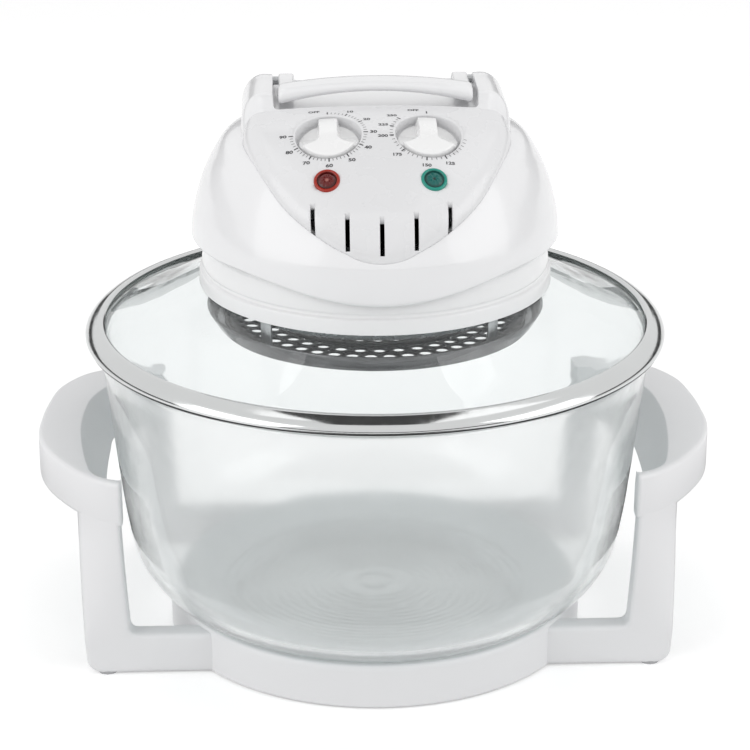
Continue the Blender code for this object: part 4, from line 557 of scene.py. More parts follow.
chrome = metal("polished_chrome", (0.62, 0.63, 0.63), 0.12, patch=30.0, drift=0.04, relief=0.000002)
RIM_R, RIM_LOW, RIM_HIGH, RIM_DEEP, SHEET = 0.168, 0.184, 0.0105, 0.0114, 0.001
rim_line = smooth_line([(RIM_R - d * RIM_DEEP, RIM_LOW + h * RIM_HIGH) for d, h in (
    (1.0, 0.90), (0.90, 0.975), (0.76, 0.985), (0.56, 0.915), (0.34, 0.79), (0.15, 0.61),
    (0.03, 0.42), (0.0, 0.27), (0.07, 0.10), (0.28, 0.01), (0.62, 0.0), (1.0, 0.0))], 70)
rim_inner = offset_line(rim_line, -SHEET)
rim = turned("lid_band", np.concatenate([rim_line, rim_inner[::-1]]), chrome, steps=256)
fit(rim, "lid", "chrome_steel", "lid_rim")


def ring_section(inner, outer, low, high, radius=0.0, steps=3):
    """The section of a flat ring, its corners rounded where a radius is given."""
    corners = [(outer, low), (outer, high), (inner, high), (inner, low)]
    return filleted(corners, radius, steps, closed=True) if radius else corners


silicone = plastic("seal_silicone", (0.80, 0.80, 0.79), 0.65, patch=60.0, relief=0.00003)
seal = turned("lid_seal", ring_section(0.1575, 0.1635, 0.1853, 0.1865, 0.0005), silicone)
fit(seal, "lid", "white_silicone", "rim_seal")


# Heater under the lid's hole: a zinc-plated mounting plate, a spun aluminium
# reflector, a ring lamp in ceramic sockets, and the motor over them with its
# two fans. Their solids have the right shape already and get their finishes.

zinc = metal("zinc_plate", (0.56, 0.57, 0.58), 0.36, patch=70.0, drift=0.10, grain=1600.0,
             relief=0.00003)
aluminium = metal("spun_aluminium", (0.70, 0.71, 0.72), 0.24, patch=50.0, brushed=160.0,
                  relief=0.00002)
dark_metal = metal("dark_sheet", (0.035, 0.035, 0.037), 0.36, patch=50.0, drift=0.15,
                   relief=0.00002)
ceramic = plastic("socket_ceramic", (0.82, 0.80, 0.75), 0.55, patch=120.0, drift=0.04,
                  grain=1200.0, relief=0.00005)
black = plastic("black_moulding", (0.030, 0.030, 0.032), 0.42, patch=60.0, drift=0.15, worn=0.12)
copper = metal("enamelled_copper", (0.60, 0.27, 0.12), 0.30, patch=90.0, drift=0.12,
               grain=1800.0, relief=0.00008)
quartz = glass("lamp_quartz", (0.60, 0.58, 0.55), density=60.0)
bulb_glass = glass("bulb_glass", (0.80, 0.72, 0.66), density=40.0)
for finish, names in (
    (zinc, "mounting_plate motor_bracket motor_rotor motor_shaft handle_pin_left handle_pin_right"),
    (zinc, "timer_mechanism timer_shaft temperature_shaft"),
    (zinc, "housing_screw_1 housing_screw_2 housing_screw_3 housing_screw_4"),
    (aluminium, "reflector hot_air_fan cooling_fan"),
    (dark_metal, "motor_stack"),
    (ceramic, "lamp_socket_left lamp_socket_right terminal_block thermostat"),
    (black, "safety_switch"),
    (copper, "motor_coil"),
    (silicone, "switch_plunger"),
    (quartz, "halogen_lamp"),
    (bulb_glass, "red_neon_bulb green_neon_bulb"),
):
    for name in names.split():
        nodes[name].material_slots[0].material = finish


# Guard under the heater: a dark perforated steel disc in a bright pressed trim
# ring, hung from the mounting plate on four riveted straps.

trim_line = smooth_line([
    (0.0960, 0.1996), (0.0944, 0.1964), (0.0925, 0.1932), (0.0908, 0.1908), (0.0890, 0.1904),
    (0.0850, 0.1904)], 40)
trim_bead = arc_points(0.0953, 0.1998, 0.0009, np.linspace(-0.6, 3.4, 9))
trim_inner = offset_line(trim_line, -0.0009)
trim_profile = np.concatenate([trim_bead[::-1], trim_line[1:], trim_inner[::-1][:-1]])
trim_steel = metal("trim_steel", (0.12, 0.12, 0.124), 0.15, patch=30.0, relief=0.000004)
trim = turned("guard_trim", trim_profile, trim_steel)
fit(trim, "lid", "chrome_steel", "guard_trim_ring")


def perforated(name, rings, low, sheet, material):
    """A disc of holed cells: in each ring, cell k spans an angle and a radius band, and 16 spokes
    run from the cell's square border, (r, a) at the square's edge, to a round hole of its radius.
    A ring whose holes have no radius is a plain band."""
    spokes = np.linspace(0, math.tau, 16, endpoint=False) + math.pi / 16
    square = np.stack([np.cos(spokes), np.sin(spokes)], axis=1)
    square /= np.abs(square).max(axis=1)[:, None]
    mesh_points, mesh_faces, start = [], [], 0
    for inner_r, outer_r, count, hole, offset in rings:
        middle = (inner_r + outer_r) / 2
        cell = (np.arange(count)[:, None] + offset) * math.tau / count
        r_edge = middle + square[:, 0] * (outer_r - inner_r) / 2 + 0 * cell
        a_edge = cell + square[:, 1] * math.pi / count
        edge = np.stack([r_edge * np.cos(a_edge), r_edge * np.sin(a_edge)], axis=-1)
        x = middle + hole * np.cos(spokes) + 0 * cell
        y = hole * np.sin(spokes) + 0 * cell
        border = np.stack([x * np.cos(cell) - y * np.sin(cell),
                           x * np.sin(cell) + y * np.cos(cell)], axis=-1)
        points = np.stack([edge, border], axis=1).reshape(-1, 2)
        index = np.arange(len(points)).reshape(count, 2, 16) + start
        after = np.roll(index, -1, axis=2)
        quads = np.stack([index[:, 0], after[:, 0], after[:, 1], index[:, 1]], axis=-1)
        mesh_faces += quads.reshape(-1, 4).tolist()
        mesh_points.append(points)
        start += len(points)
    mesh = bpy.data.meshes.new(name)
    mesh.from_pydata(at_height(np.concatenate(mesh_points), low), [], mesh_faces)
    made = closed_mesh(name, mesh, material)
    wall = made.modifiers.new("sheet", "SOLIDIFY")
    wall.thickness, wall.offset = sheet, -1.0
    return made


# inner radius, outer radius, holes, hole radius, turn in cells
hole_rings = [
    (0.0773, 0.0852, 44, 0.0, 0.5), (0.0671, 0.0773, 44, 0.0036, 0.5),
    (0.0569, 0.0671, 36, 0.0034, 0.0), (0.0460, 0.0569, 30, 0.0, 0.0),
    (0.0366, 0.0460, 26, 0.0032, 0.5), (0.0272, 0.0366, 20, 0.0030, 0.0),
    (0.0184, 0.0272, 14, 0.0028, 0.5), (0.0100, 0.0184, 9, 0.0026, 0.0),
]
DISC_Z = 0.1927
guard = perforated("guard_disc", hole_rings, DISC_Z, SHEET, dark_metal)
hub_profile = [(0.0, DISC_Z), (0.0104, DISC_Z), (0.0104, 0.1917), (0.0, 0.1917)]
guard_hub = turned("guard_hub", hub_profile, dark_metal, 48, closed=False)
hem_section = ring_section(0.0846, 0.0866, 0.1918, 0.1926, 0.0003)
hem = turned("guard_hem", hem_section, dark_metal)
fit(guard, "lid", "dark_steel", "guard_plate")
fit(guard_hub, "lid", "dark_steel")
fit(hem, "lid", "dark_steel")


def rounded_levels(low, high, radius, steps=4):
    """Levels from low to high whose first and last edges are quarter circles."""
    turn = np.linspace(0.0, math.pi / 2, steps + 1)
    inset, rise = radius * (1 - np.sin(turn)), radius * (1 - np.cos(turn))
    up = list(zip(inset, low + rise))
    return up + [(i, low + high - z) for i, z in reversed(up)]


def strap(name, angle):
    """A sheet strap with a turned foot on the guard: its bent side line carried across its
    width."""
    half_wide, half_thick = 0.004, 0.0006
    middle = filleted([(0.0815, 0.1933), (0.0882, 0.1933), (0.0882, 0.2213)], 0.0028, 5)
    outer, inner = offset_line(middle, -half_thick), offset_line(middle, half_thick)
    outline = np.concatenate([outer, inner[::-1]])
    place = Matrix.Rotation(angle, 4, "Z") @ Matrix.Rotation(math.radians(90), 4, "X")
    return slab(name, outline, rounded_levels(-half_wide, half_wide, 0.0003, 2), zinc, place)


for i in range(4):
    hanger = strap(f"guard_strap_{i + 1}", math.radians(45 + 90 * i))
    fit(hanger, "lid", "zinc_steel", f"guard_hanger_{i + 1}")


# Collar: the white lower ring of the head. It stands on the glass round the
# hole, has a groove under its waist, and the mounting plate screws up into it.

gloss_white = plastic("gloss_white", (0.81, 0.81, 0.82), 0.24, patch=14.0, grain=700.0,
                      relief=0.000006, worn=0.03, coat=0.35)
collar_white = plastic("collar_white", (0.86, 0.86, 0.865), 0.24, patch=14.0, grain=700.0,
                       relief=0.000006, worn=0.03, coat=0.25)
FOOT_Z = 0.2166
collar_line = filleted([
    (0.0957, 0.2469), (0.0984, 0.2398), (0.0991, 0.2345), (0.0996, 0.2302), (0.0996, 0.2285),
    (0.0988, 0.2276), (0.0988, 0.2262), (0.1009, 0.2254), (0.1011, 0.2235),
    (0.1014, FOOT_Z + 0.0004)], 0.0011, 4)
collar_inner = smooth_line([
    (0.0976, FOOT_Z + 0.0022), (0.0977, 0.2240), (0.0960, 0.2290), (0.0958, 0.2345),
    (0.0950, 0.2398), (0.0926, 0.2469)], 24)
collar = turned("collar_ring", np.concatenate([collar_line, collar_inner]), collar_white)
fit(collar, "lid", "head_plastic", "collar")


# Upper housing: a glossy white injection-moulded dome, flattened a little in
# front, its skirt dipping over the collar there. The control panel, the rear
# panel and the handle's saddle are let into its open top.

HEAD_R, SKIRT_Z, DOME_H, HOUSING_WALL = 0.1052, 0.2455, 0.0675, 0.003
dome_line = smooth_line([(HEAD_R * r, SKIRT_Z + DOME_H * h) for r, h in (
    (1.0, 0.0), (0.992, 0.148), (0.965, 0.333), (0.932, 0.496), (0.879, 0.668), (0.808, 0.83),
    (0.722, 0.911), (0.646, 0.970), (0.560, 1.0))], 240)

# one row of the panels: distance along in Y, drop in Z, lean in right angles,
# half width, bow radius
panel_shares = np.array([
    (0.0, 0.0, 0.0, 0.993, 9.8), (0.132, 0.033, 0.09, 1.0, 8.4), (0.323, 0.106, 0.22, 0.965, 5.9),
    (0.490, 0.216, 0.33, 0.895, 4.6), (0.646, 0.339, 0.44, 0.811, 3.65),
    (0.778, 0.480, 0.51, 0.706, 2.8), (0.891, 0.622, 0.62, 0.573, 2.1),
    (0.945, 0.752, 0.71, 0.442, 1.70), (0.975, 0.850, 0.80, 0.316, 1.5),
    (0.990, 0.910, 0.87, 0.212, 1.4)])
PANEL_HALF, BORDER = 0.0715, 0.003


class PanelSheet:
    """The bowed, leaning sheet of a panel. At a length s down its middle line it has a centre
    (y, z), a lean a, a half width and a bow radius b, and its point at x is
    (x, y + sin a * x^2 / 2b, z - cos a * x^2 / 2b). The side is 1 in front and -1 behind."""

    def __init__(self, start_y, start_z, length, drop, side):
        along, down, lean, half, bow = panel_shares.T
        ys, zs = start_y - side * along * length, start_z - down * drop
        middle = np.stack([ys, zs], axis=1)
        line = smooth_line(middle, 400)
        chord = arc_length(middle)
        at = np.linspace(0.0, chord[-1], 400)
        wide = smooth_line(np.stack([chord, half * PANEL_HALF + BORDER], axis=1), 400)
        self.s = arc_length(line)
        self.y, self.z = line.T
        self.lean = averaged(np.interp(at, chord, side * lean * math.pi / 2), 25)
        self.half = np.interp(at, wide[:, 0], wide[:, 1])
        self.bow = averaged(np.interp(at, chord, bow * PANEL_HALF), 25)
        self.side = side

    def at(self, s, measure):
        """A measure of the sheet at a length."""
        return np.interp(s, self.s, measure)

    def row_at(self, y):
        """The length whose centre has this y."""
        return np.interp(-self.side * y, -self.side * self.y, self.s)

    def point(self, x, s, deep=0.0):
        """The place of (x, s), this deep under the sheet."""
        over = np.maximum(s - self.s[-1], 0.0)
        lean, fall = self.at(s, self.lean), x**2 / (2 * self.at(s, self.bow)) + deep
        y = self.at(s, self.y) + np.sin(lean) * fall - over * np.cos(lean) * self.side
        z = self.at(s, self.z) - np.cos(lean) * fall - over * np.sin(lean) * self.side
        return np.stack([x + 0 * y, y, z], axis=-1)

    def length_at(self, y, z):
        """The length s whose row passes through (y, z), taken square to the sheet."""
        across = ((y[..., None] - self.y) * np.cos(self.lean)
                  + (z[..., None] - self.z) * np.sin(self.lean))
        return self.s[np.abs(across).argmin(axis=-1)]


FRONT_START, REAR_START, FRONT_TOP = -0.019, 0.0503, 0.3228
front_sheet = PanelSheet(FRONT_START, FRONT_TOP, length=0.0836, drop=0.0658, side=1)
rear_sheet = PanelSheet(REAR_START, 0.3160, length=0.0485, drop=0.035, side=-1)

FLATTER, FLATTER_HIGH, DIP, DIP_HIGH, DIP_TURN = 0.06, 0.6, 0.011, 0.010, math.radians(52)
dome_arc = arc_length(dome_line)
dome_chord = np.gradient(dome_line, axis=0)
dome_chord /= np.linalg.norm(dome_chord, axis=1)[:, None]
dome_normal = np.stack([dome_chord[:, 1], -dome_chord[:, 0]], axis=1)


def front_share(z):
    """The share of its depth that the front half keeps at a height: a smooth step up the dome."""
    rise = np.clip((z - SKIRT_Z) / (DOME_H * FLATTER_HIGH), 0.0, 1.0)
    return 1 - FLATTER * rise**2 * (3 - 2 * rise)


def dome_point(turn_angle, along, deep):
    """A point of the dome: its profile at this arc length, moved inwards by the depth, carried to
    the angle and flattened in front; the skirt's foot dips round the front."""
    r, z = (np.interp(along, dome_arc, dome_line[:, k])
            - deep * np.interp(along, dome_arc, dome_normal[:, k]) for k in (0, 1))
    x, y = r * np.cos(turn_angle), r * np.sin(turn_angle)
    y = np.where(y < 0, y * front_share(z), y)
    away = np.abs(np.arctan2(x, -y)) / DIP_TURN
    dip = np.where(away < 1, DIP * (0.5 + 0.5 * np.cos(math.pi * away)), 0.0)
    low = np.clip(1 - (z - SKIRT_Z) / DIP_HIGH, 0.0, 1.0)
    return np.stack([x, y, z - dip * low], axis=-1)


def outside_dome(points):
    """How far points are outside the dome, along the radius."""
    x, y, z = points[..., 0], points[..., 1], points[..., 2]
    y = np.where(y < 0, y / front_share(z), y)
    return np.hypot(x, y) - np.interp(z, dome_line[:, 1], dome_line[:, 0])


SEAM, TIP_LONG, TIP_TURN, SADDLE_HALF = 0.0001, 0.0050, math.radians(45), 0.0755


def tip_half(sheet, over):
    """The half width this far beyond a panel's last row: the end of an ellipse from the angle
    where it takes up the side's slope, w cos a / cos a0 with sin a = sin a0 + (1 - sin a0) over /
    length, and nothing past its length."""
    sine = math.sin(TIP_TURN) + (1 - math.sin(TIP_TURN)) * over / TIP_LONG
    half = sheet.half[-1] * np.sqrt(np.clip(1 - sine**2, 0, 1)) / math.cos(TIP_TURN)
    return np.where(over < TIP_LONG, half, -1.0)


def within(sheet, x, y, z):
    """True where a point is inside the opening that a panel needs."""
    s = sheet.length_at(y, z)
    lean = sheet.lean[-1]
    over = -sheet.side * ((y - sheet.y[-1]) * np.cos(lean) + (z - sheet.z[-1]) * np.sin(lean))
    half = np.where(over > 0, tip_half(sheet, over), sheet.at(s, sheet.half))
    return np.abs(x) < half + SEAM


def opened(points):
    """True where a point of the dome is taken away for the two panels and the saddle."""
    x, y, z = points[..., 0], points[..., 1], points[..., 2]
    front, rear = y < FRONT_START, y > REAR_START
    return (front & within(front_sheet, x, y, z)) | (rear & within(rear_sheet, x, y, z)) | (
        ~front & ~rear & (np.abs(x) < SADDLE_HALF + SEAM))


around = np.linspace(-1.0, 1.0, 481)[:-1]
around_head = -math.pi / 2 + math.pi * (0.45 * around + 0.55 * around**3)
probe = np.linspace(0.0, dome_arc[-1], 220)
hit = opened(dome_point(around_head[:, None], probe[None, :], 0.0)).argmax(axis=1)
low_end, high_end = probe[np.maximum(hit - 1, 0)], probe[hit]
for _ in range(16):
    halfway = (low_end + high_end) / 2
    inside = opened(dome_point(around_head, halfway, 0.0))
    low_end, high_end = np.where(inside, low_end, halfway), np.where(inside, halfway, high_end)
edge_along = low_end
foot_rows = [(0.0, HOUSING_WALL), (0.0, 0.0009), (0.0001, 0.0004), (0.0004, 0.0001), (0.0009, 0.0)]
rise_rows = 0.0009 + (edge_along - 0.0012) * np.linspace(0.0, 1.0, 58)[1:, None]
lip_rows = [(0.00012, 0.00002), (0.00004, 0.00008), (0.0, 0.0002), (0.0, HOUSING_WALL)]
back_rows = edge_along * np.linspace(1.0, 0.0, 20)[1:-1, None]
dome_rows = [dome_point(around_head, along + 0 * around_head, deep) for along, deep in foot_rows]
dome_rows += [dome_point(around_head, row, 0.0) for row in rise_rows]
dome_rows += [dome_point(around_head, edge_along - back, deep) for back, deep in lip_rows]
dome_rows += [dome_point(around_head, row, HOUSING_WALL) for row in back_rows]
dome_rows.append(dome_rows[0])
dome = grid_piece("dome_shell", np.stack(dome_rows), gloss_white, sharp=50)


def rounded_box(half_x, half_y, radius, steps=5):
    """A closed rectangle with round corners."""
    corners = [(half_x, -half_y), (half_x, half_y), (-half_x, half_y), (-half_x, -half_y)]
    return filleted(corners, radius, steps, closed=True)


def upright(low, high):
    """The levels of a slab with plain walls."""
    return [(0.0, low), (0.0, high)]


def cut_away(piece, *cutters):
    """The piece less its cutters, which are removed."""
    for cutter in cutters:
        step = piece.modifiers.new("cut", "BOOLEAN")
        step.operation, step.solver, step.object = "DIFFERENCE", "EXACT", cutter
    bpy.context.view_layer.update()
    graph = bpy.context.evaluated_depsgraph_get()
    mesh = bpy.data.meshes.new_from_object(piece.evaluated_get(graph))
    piece.modifiers.clear()
    material = piece.data.materials[0]
    piece.data = mesh
    mesh.materials.clear()
    mesh.materials.append(material)
    for cutter in cutters:
        bpy.data.objects.remove(cutter)
    return piece


INLET_Z = 0.262
rearward = Matrix.Translation((0.0, 0.0, INLET_Z)) @ Matrix(
    ((-1, 0, 0, 0), (0, 0, 1, 0), (0, 1, 0, 0), (0, 0, 0, 1)))


def socket_room():
    """The hole through dome and boss that the power inlet is pushed into."""
    return slab("socket_room", rounded_box(0.0143, 0.0103, 0.002), upright(0.070, 0.120),
                gloss_white, rearward)


dome = cut_away(dome, socket_room())
boss_levels = [(-0.0022, 0.097), (-0.0020, 0.1035), (-0.0008, 0.1046), (0.0, 0.1056),
               (0.0004, 0.1062), (0.0012, 0.1065)]
boss = slab("boss", rounded_box(0.022, 0.0148, 0.005), boss_levels, gloss_white, rearward)
boss = cut_away(boss, socket_room())
flange_section = [(0.1020, 0.2472), (0.1020, 0.2502), (0.0932, 0.2502), (0.0932, 0.2472)]
flange = turned("flange", flange_section, gloss_white, 96)
head_shell = joined("head_dome", dome, boss, flange)
fit(head_shell, "lid", "head_plastic", "upper_housing")


# Control panel and rear panel: bowed white shields let into the dome, satin in
# front and glossy behind, their borders rolled down to it. The front one has
# two sunk wells for knobs, two lamp holes and five vents, the rear five vents.

panel_white = plastic("panel_white", (0.745, 0.745, 0.755), 0.27, patch=12.0, grain=1100.0,
                      relief=0.000008, worn=0.02, coat=0.15)
BAND, SHEET_WALL = 0.0095, 0.003


def shield_outline(sheet, count):
    """The panel's outline in (x, s): the half width down one side, the end of an ellipse round
    the tip, in even steps of length."""
    s = np.linspace(0.0, sheet.s[-1], 300)
    sines = np.sin(np.linspace(TIP_TURN, math.pi / 2, 24)[1:])
    over = TIP_LONG * (sines - math.sin(TIP_TURN)) / (1 - math.sin(TIP_TURN))
    tip = tip_half(sheet, over)
    tip[-1] = 0.0
    side = np.concatenate([np.stack([sheet.at(s, sheet.half), s], axis=1),
                           np.stack([tip, sheet.s[-1] + over], axis=1)])
    arc = arc_length(side)
    at = np.linspace(0.0, arc[-1], count)
    side = np.stack([np.interp(at, arc, side[:, 0]), np.interp(at, arc, side[:, 1])], axis=1)
    return np.concatenate([side * (-1, 1), side[::-1][1:]])


def quarter_fall(share):
    """How far a quarter circle of radius 1 has fallen at a share of its reach."""
    return 1 - np.sqrt(1 - share**2)


class Rolled:
    """A panel sheet with its border rolled down: within the band of the outline the surface falls
    by B * (1 - sqrt(1 - (1 - d / band)^2)), d being the distance to the outline and B the depth
    there that reaches the dome."""

    def __init__(self, sheet):
        self.sheet = sheet
        self.fine = shield_outline(sheet, 700)
        x, s = self.fine.T
        low, high = 0 * x, 0 * x + 0.022
        for _ in range(14):
            halfway = (low + high) / 2
            proud = outside_dome(sheet.point(x, s, halfway)) > 0.0002
            low, high = np.where(proud, halfway, low), np.where(proud, high, halfway)
        self.depth = np.maximum(averaged(low, 41), 0.0010)

    def drop(self, x, s):
        """How far the surface is under the sheet."""
        flat = np.stack([np.ravel(x), np.ravel(s)], axis=1)
        gap = ((flat[:, None, :] - self.fine[None, ::2, :])**2).sum(axis=2)
        nearest = gap.argmin(axis=1) * 2
        near = 1 - np.clip(np.sqrt(gap.min(axis=1)) / BAND, 0.0, 1.0)
        half = self.sheet.at(flat[:, 1], self.sheet.half)
        near = np.where(np.abs(flat[:, 0]) > half, 1.0, near)
        return (self.depth[nearest] * quarter_fall(near)).reshape(np.shape(x))

    def point(self, x, s, deep=0.0):
        """The place of (x, s), this deep under the surface."""
        return self.sheet.point(x, s, self.drop(x, s) + deep)


def shield(name, rolled, material):
    """The panel as a closed solid: each row runs from a point of the outline to the middle line,
    higher up towards the tip, and out to the mirrored point, then back under it one wall deeper;
    the walls at both ends reach past the dome."""
    outline = shield_outline(rolled.sheet, 170)[169:][::-1]
    x, s = outline.T[:, :, None]
    total = outline[:, 1].max()
    inner_s = s * (total - 0.030) / total
    length = np.hypot(x, s - inner_s)
    steps = 0.0001 * np.array([0, 2, 6, 11, 18, 27, 37, 48, 60, 73, 86, 100, 115])
    half = len(rolled.depth) // 2
    picked = np.linspace(0, half, len(outline)).astype(int)
    edge_depth = rolled.depth[half:][::-1][picked][:, None]
    wall_depths = edge_depth + np.array([[0.0050, 0.0025, 0.0010, 0.0003]])

    def line(first, side):
        """Steps from this far inside the outline to the middle line."""
        near = steps[steps >= first][None, :] / length
        evenly = near[:, -1:] + (1 - near[:, -1:]) * np.linspace(0, 1, 16)[None, 1:]
        share = np.concatenate([near, evenly], axis=1)
        return side * x * (1 - share), s * (1 - share) + inner_s * share

    halves = []
    for side in (1, -1):
        wall = rolled.sheet.point(side * x + 0 * edge_depth, s + 0 * edge_depth, wall_depths)
        outer = rolled.point(*line(0.0, side))
        outer[:, 0] = rolled.sheet.point(side * x, s, edge_depth)[:, 0]
        near_x, near_s = line(0.0026, side)
        under = rolled.point(near_x, near_s, SHEET_WALL)
        inner_wall = rolled.sheet.point(near_x[:, :1], near_s[:, :1], wall_depths[:, :1])
        halves.append((np.concatenate([wall, outer], axis=1),
                       np.concatenate([inner_wall, under], axis=1)))
    (outer_right, under_right), (outer_left, under_left) = halves
    grid = np.concatenate([outer_right, outer_left[:, ::-1][:, 1:],
                           under_left, under_right[:, ::-1][:, 1:]], axis=1)
    return grid_piece(name, grid, material, ends=(True, False), sharp=40)


front_rolled, rear_rolled = Rolled(front_sheet), Rolled(rear_sheet)
control_panel = shield("control_shield", front_rolled, panel_white)
rear_panel = shield("rear_shield", rear_rolled, gloss_white)


def placed(centre, across, up, normal):
    """The 4 x 4 matrix of a place with these three directions."""
    return Matrix.Translation(centre) @ Matrix((across, up, normal)).transposed().to_4x4()


def frame_from(centre, normal):
    """A place whose Z is the normal and whose Y runs up the panel in the YZ plane."""
    normal = Vector(normal).normalized()
    up = Vector((0.0, normal.z, -normal.y)).normalized() * math.copysign(1.0, normal.z)
    return placed(centre, up.cross(normal), up, normal)


KNOB_X, KNOB_Y = 0.0275, -0.046189
knob_frames = [
    frame_from((side * KNOB_X, KNOB_Y, 0.314719), (side * 0.060005, -0.402947, 0.913254))
    for side in (-1, 1)]
lamp_frames = [
    frame_from((side * 0.029, -0.074865, 0.296684), (side * 0.091055, -0.634386, 0.767635))
    for side in (-1, 1)]
circle = np.linspace(0.0, math.tau, 96, endpoint=False)
WELL_R, WELL_LIP, WELL_DEEP = 0.0182, 0.0011, 0.009


def disc(radius):
    """A circle in 96 steps."""
    return radius * np.stack([np.cos(circle), np.sin(circle)], axis=1)


# takes an outline drawn in (X, Y) and its levels in Z to (Y, Z) and X
sideways = Matrix(((0, 0, 1, 0), (1, 0, 0, 0), (0, 1, 0, 0), (0, 0, 0, 1)))


def slot_cutter(sheet, x, y, length):
    """A vent, cut right through at its lower end, its floor running out at the upper end."""
    s = sheet.row_at(y)
    half, half_wide, through = length / 2, 0.00125, 0.008
    span = np.array([s - length / 4, s + length / 4])
    up, down = sheet.point(np.array([x, x]), span)
    place = Vector(sheet.point(np.array([x]), np.array([s]))[0])
    slope = Vector((sheet.side, 0, -x * sheet.side / float(sheet.at(s, sheet.bow))))
    normal = slope.cross(Vector(up - down)).normalized()
    up = Vector(up - down).normalized()
    outline = np.array([
        (-half, -through), (-half, through), (half, through), (half, -0.0006),
        (half * 0.62, -0.0026), (half * 0.30, -through)])
    return slab("vent", outline, upright(-half_wide, half_wide), panel_white,
                placed(place, up.cross(normal), up, normal) @ sideways)


def hole_cutter(name, radius, place):
    """A round bar through the panel."""
    return slab(name, disc(radius), upright(-0.016, 0.016), panel_white, place)


LAMP_HOLE_R, VENT_STEP, VENT_Y, VENT_RISE = 0.0064, 0.0186, -0.0982, 0.00125
cutters = [hole_cutter("well_room", WELL_R + WELL_LIP, place) for place in knob_frames]
cutters += [hole_cutter("lamp_room", LAMP_HOLE_R, place) for place in lamp_frames]
cutters += [slot_cutter(front_sheet, VENT_STEP * i, VENT_Y + VENT_RISE * i * i, 0.022)
            for i in range(-2, 3)]
control_panel = cut_away(control_panel, *cutters)
cutters = [slot_cutter(rear_sheet, VENT_STEP * i, 0.088, 0.018) for i in range(-2, 3)]
rear_panel = cut_away(rear_panel, *cutters)


def height_over(place, outline):
    """The height of the front panel's surface over points (u, v) of a place on it, by stepping
    back what is missed four times."""
    u, v = outline.T
    back = place.inverted()
    x, s = place.translation.x + u, front_sheet.row_at(place.translation.y) - v
    for _ in range(5):
        local = carried(front_rolled.point(x, s), back)
        x, s = x + (u - local[..., 0]), s - (v - local[..., 1])
    return local[..., 2]


def well(name, place):
    """The knob's well: a lip that rolls over from the panel's surface, a straight wall, and a
    floor with a round corner and a hole for the shaft; then back under it, one wall deeper."""
    turn = np.linspace(0.0, math.pi / 2, 7)
    outer, wall, shaft_hole = WELL_R + WELL_LIP, 0.0022, 0.0036
    surface = height_over(place, disc(outer))
    rows = [(outer - WELL_LIP * np.sin(a), surface - WELL_LIP * (1 - np.cos(a))) for a in turn]
    rows += [(radius, 0 * surface - WELL_DEEP + over) for radius, over in (
        (WELL_R, 0.0012), (WELL_R - 0.0004, 0.0004), (WELL_R - 0.0012, 0.0), (0.006, 0.0),
        (shaft_hole, 0.0), (shaft_hole, -wall), (0.0200, -wall), (0.0205, -0.0012))]
    rows += [(0.0205, surface - 0.0026), (outer, surface - 0.0020)]
    rows.append(rows[0])
    points = np.stack([np.column_stack([disc(radius), height]) for radius, height in rows])
    return grid_piece(name, carried(points, place), panel_white, sharp=45)


wells = [well(name, place) for name, place in zip(("left_well", "right_well"), knob_frames)]
control = joined("control_panel_shield", control_panel, *wells)
fit(control, "lid", "panel_plastic", "control_panel")
rear = joined("rear_panel_shield", rear_panel)
fit(rear, "lid", "head_plastic", "rear_panel")


# Dial marks: dark grey print on the panel. Two rings of ticks and numbers, the
# timer's minutes and the heater's degrees, with OFF at the top mark of each.

ink = plastic("dial_ink", (0.055, 0.055, 0.060), 0.5, patch=300.0, drift=0.2, relief=0.00001,
              worn=0.02)
TIMER, HEAT = 0, 1
dial_places = [(side * KNOB_X, float(front_sheet.row_at(KNOB_Y))) for side in (-1, 1)]


def printed(points, faces, dial):
    """Flat marks laid on the panel: (u, v) from a dial's middle goes to the sheet at x + u,
    s - v, a hair over it."""
    x, s = dial_places[dial]
    points = np.asarray(points, float)
    return front_rolled.point(x + points[:, 0], s - points[:, 1], -0.00007), faces


def tick_marks(angles, inner, outer, width, dial):
    """Short bars at these angles, clockwise from the top, from one radius to another."""
    a = np.radians(np.asarray(angles, float))[:, None]
    r = np.array([[inner, inner, outer, outer]])
    w = np.array([[-1, 1, 1, -1]]) * width / 2
    points = np.stack([r * np.sin(a) + w * np.cos(a), r * np.cos(a) - w * np.sin(a)], axis=-1)
    bars = [tuple(range(4 * i + 3, 4 * i - 1, -1)) for i in range(len(a))]
    return printed(points.reshape(-1, 2), bars, dial)


def mesh_points(mesh):
    """The places of a mesh's vertices."""
    flat = np.zeros(len(mesh.vertices) * 3)
    mesh.vertices.foreach_get("co", flat)
    return flat.reshape(-1, 3)


def word(text, size, degrees, radius, dial):
    """A word as a flat mesh, a little wide and bold, centred at an angle and radius of a dial."""
    wide, bold = (1.28, 1.0), 0.034
    curve = bpy.data.curves.new("word", "FONT")
    curve.body, curve.size, curve.align_x, curve.align_y = text, size, "CENTER", "CENTER"
    curve.resolution_u, curve.offset = 3, size * bold
    lettering = linked("word", curve)
    bpy.context.view_layer.update()
    graph = bpy.context.evaluated_depsgraph_get()
    mesh = bpy.data.meshes.new_from_object(lettering.evaluated_get(graph))
    faces = [tuple(face.vertices) for face in mesh.polygons]
    bpy.data.objects.remove(lettering)
    angle = math.radians(degrees)
    middle = radius * np.array([math.sin(angle), math.cos(angle)])
    return printed(mesh_points(mesh)[:, :2] * wide + middle, faces, dial)


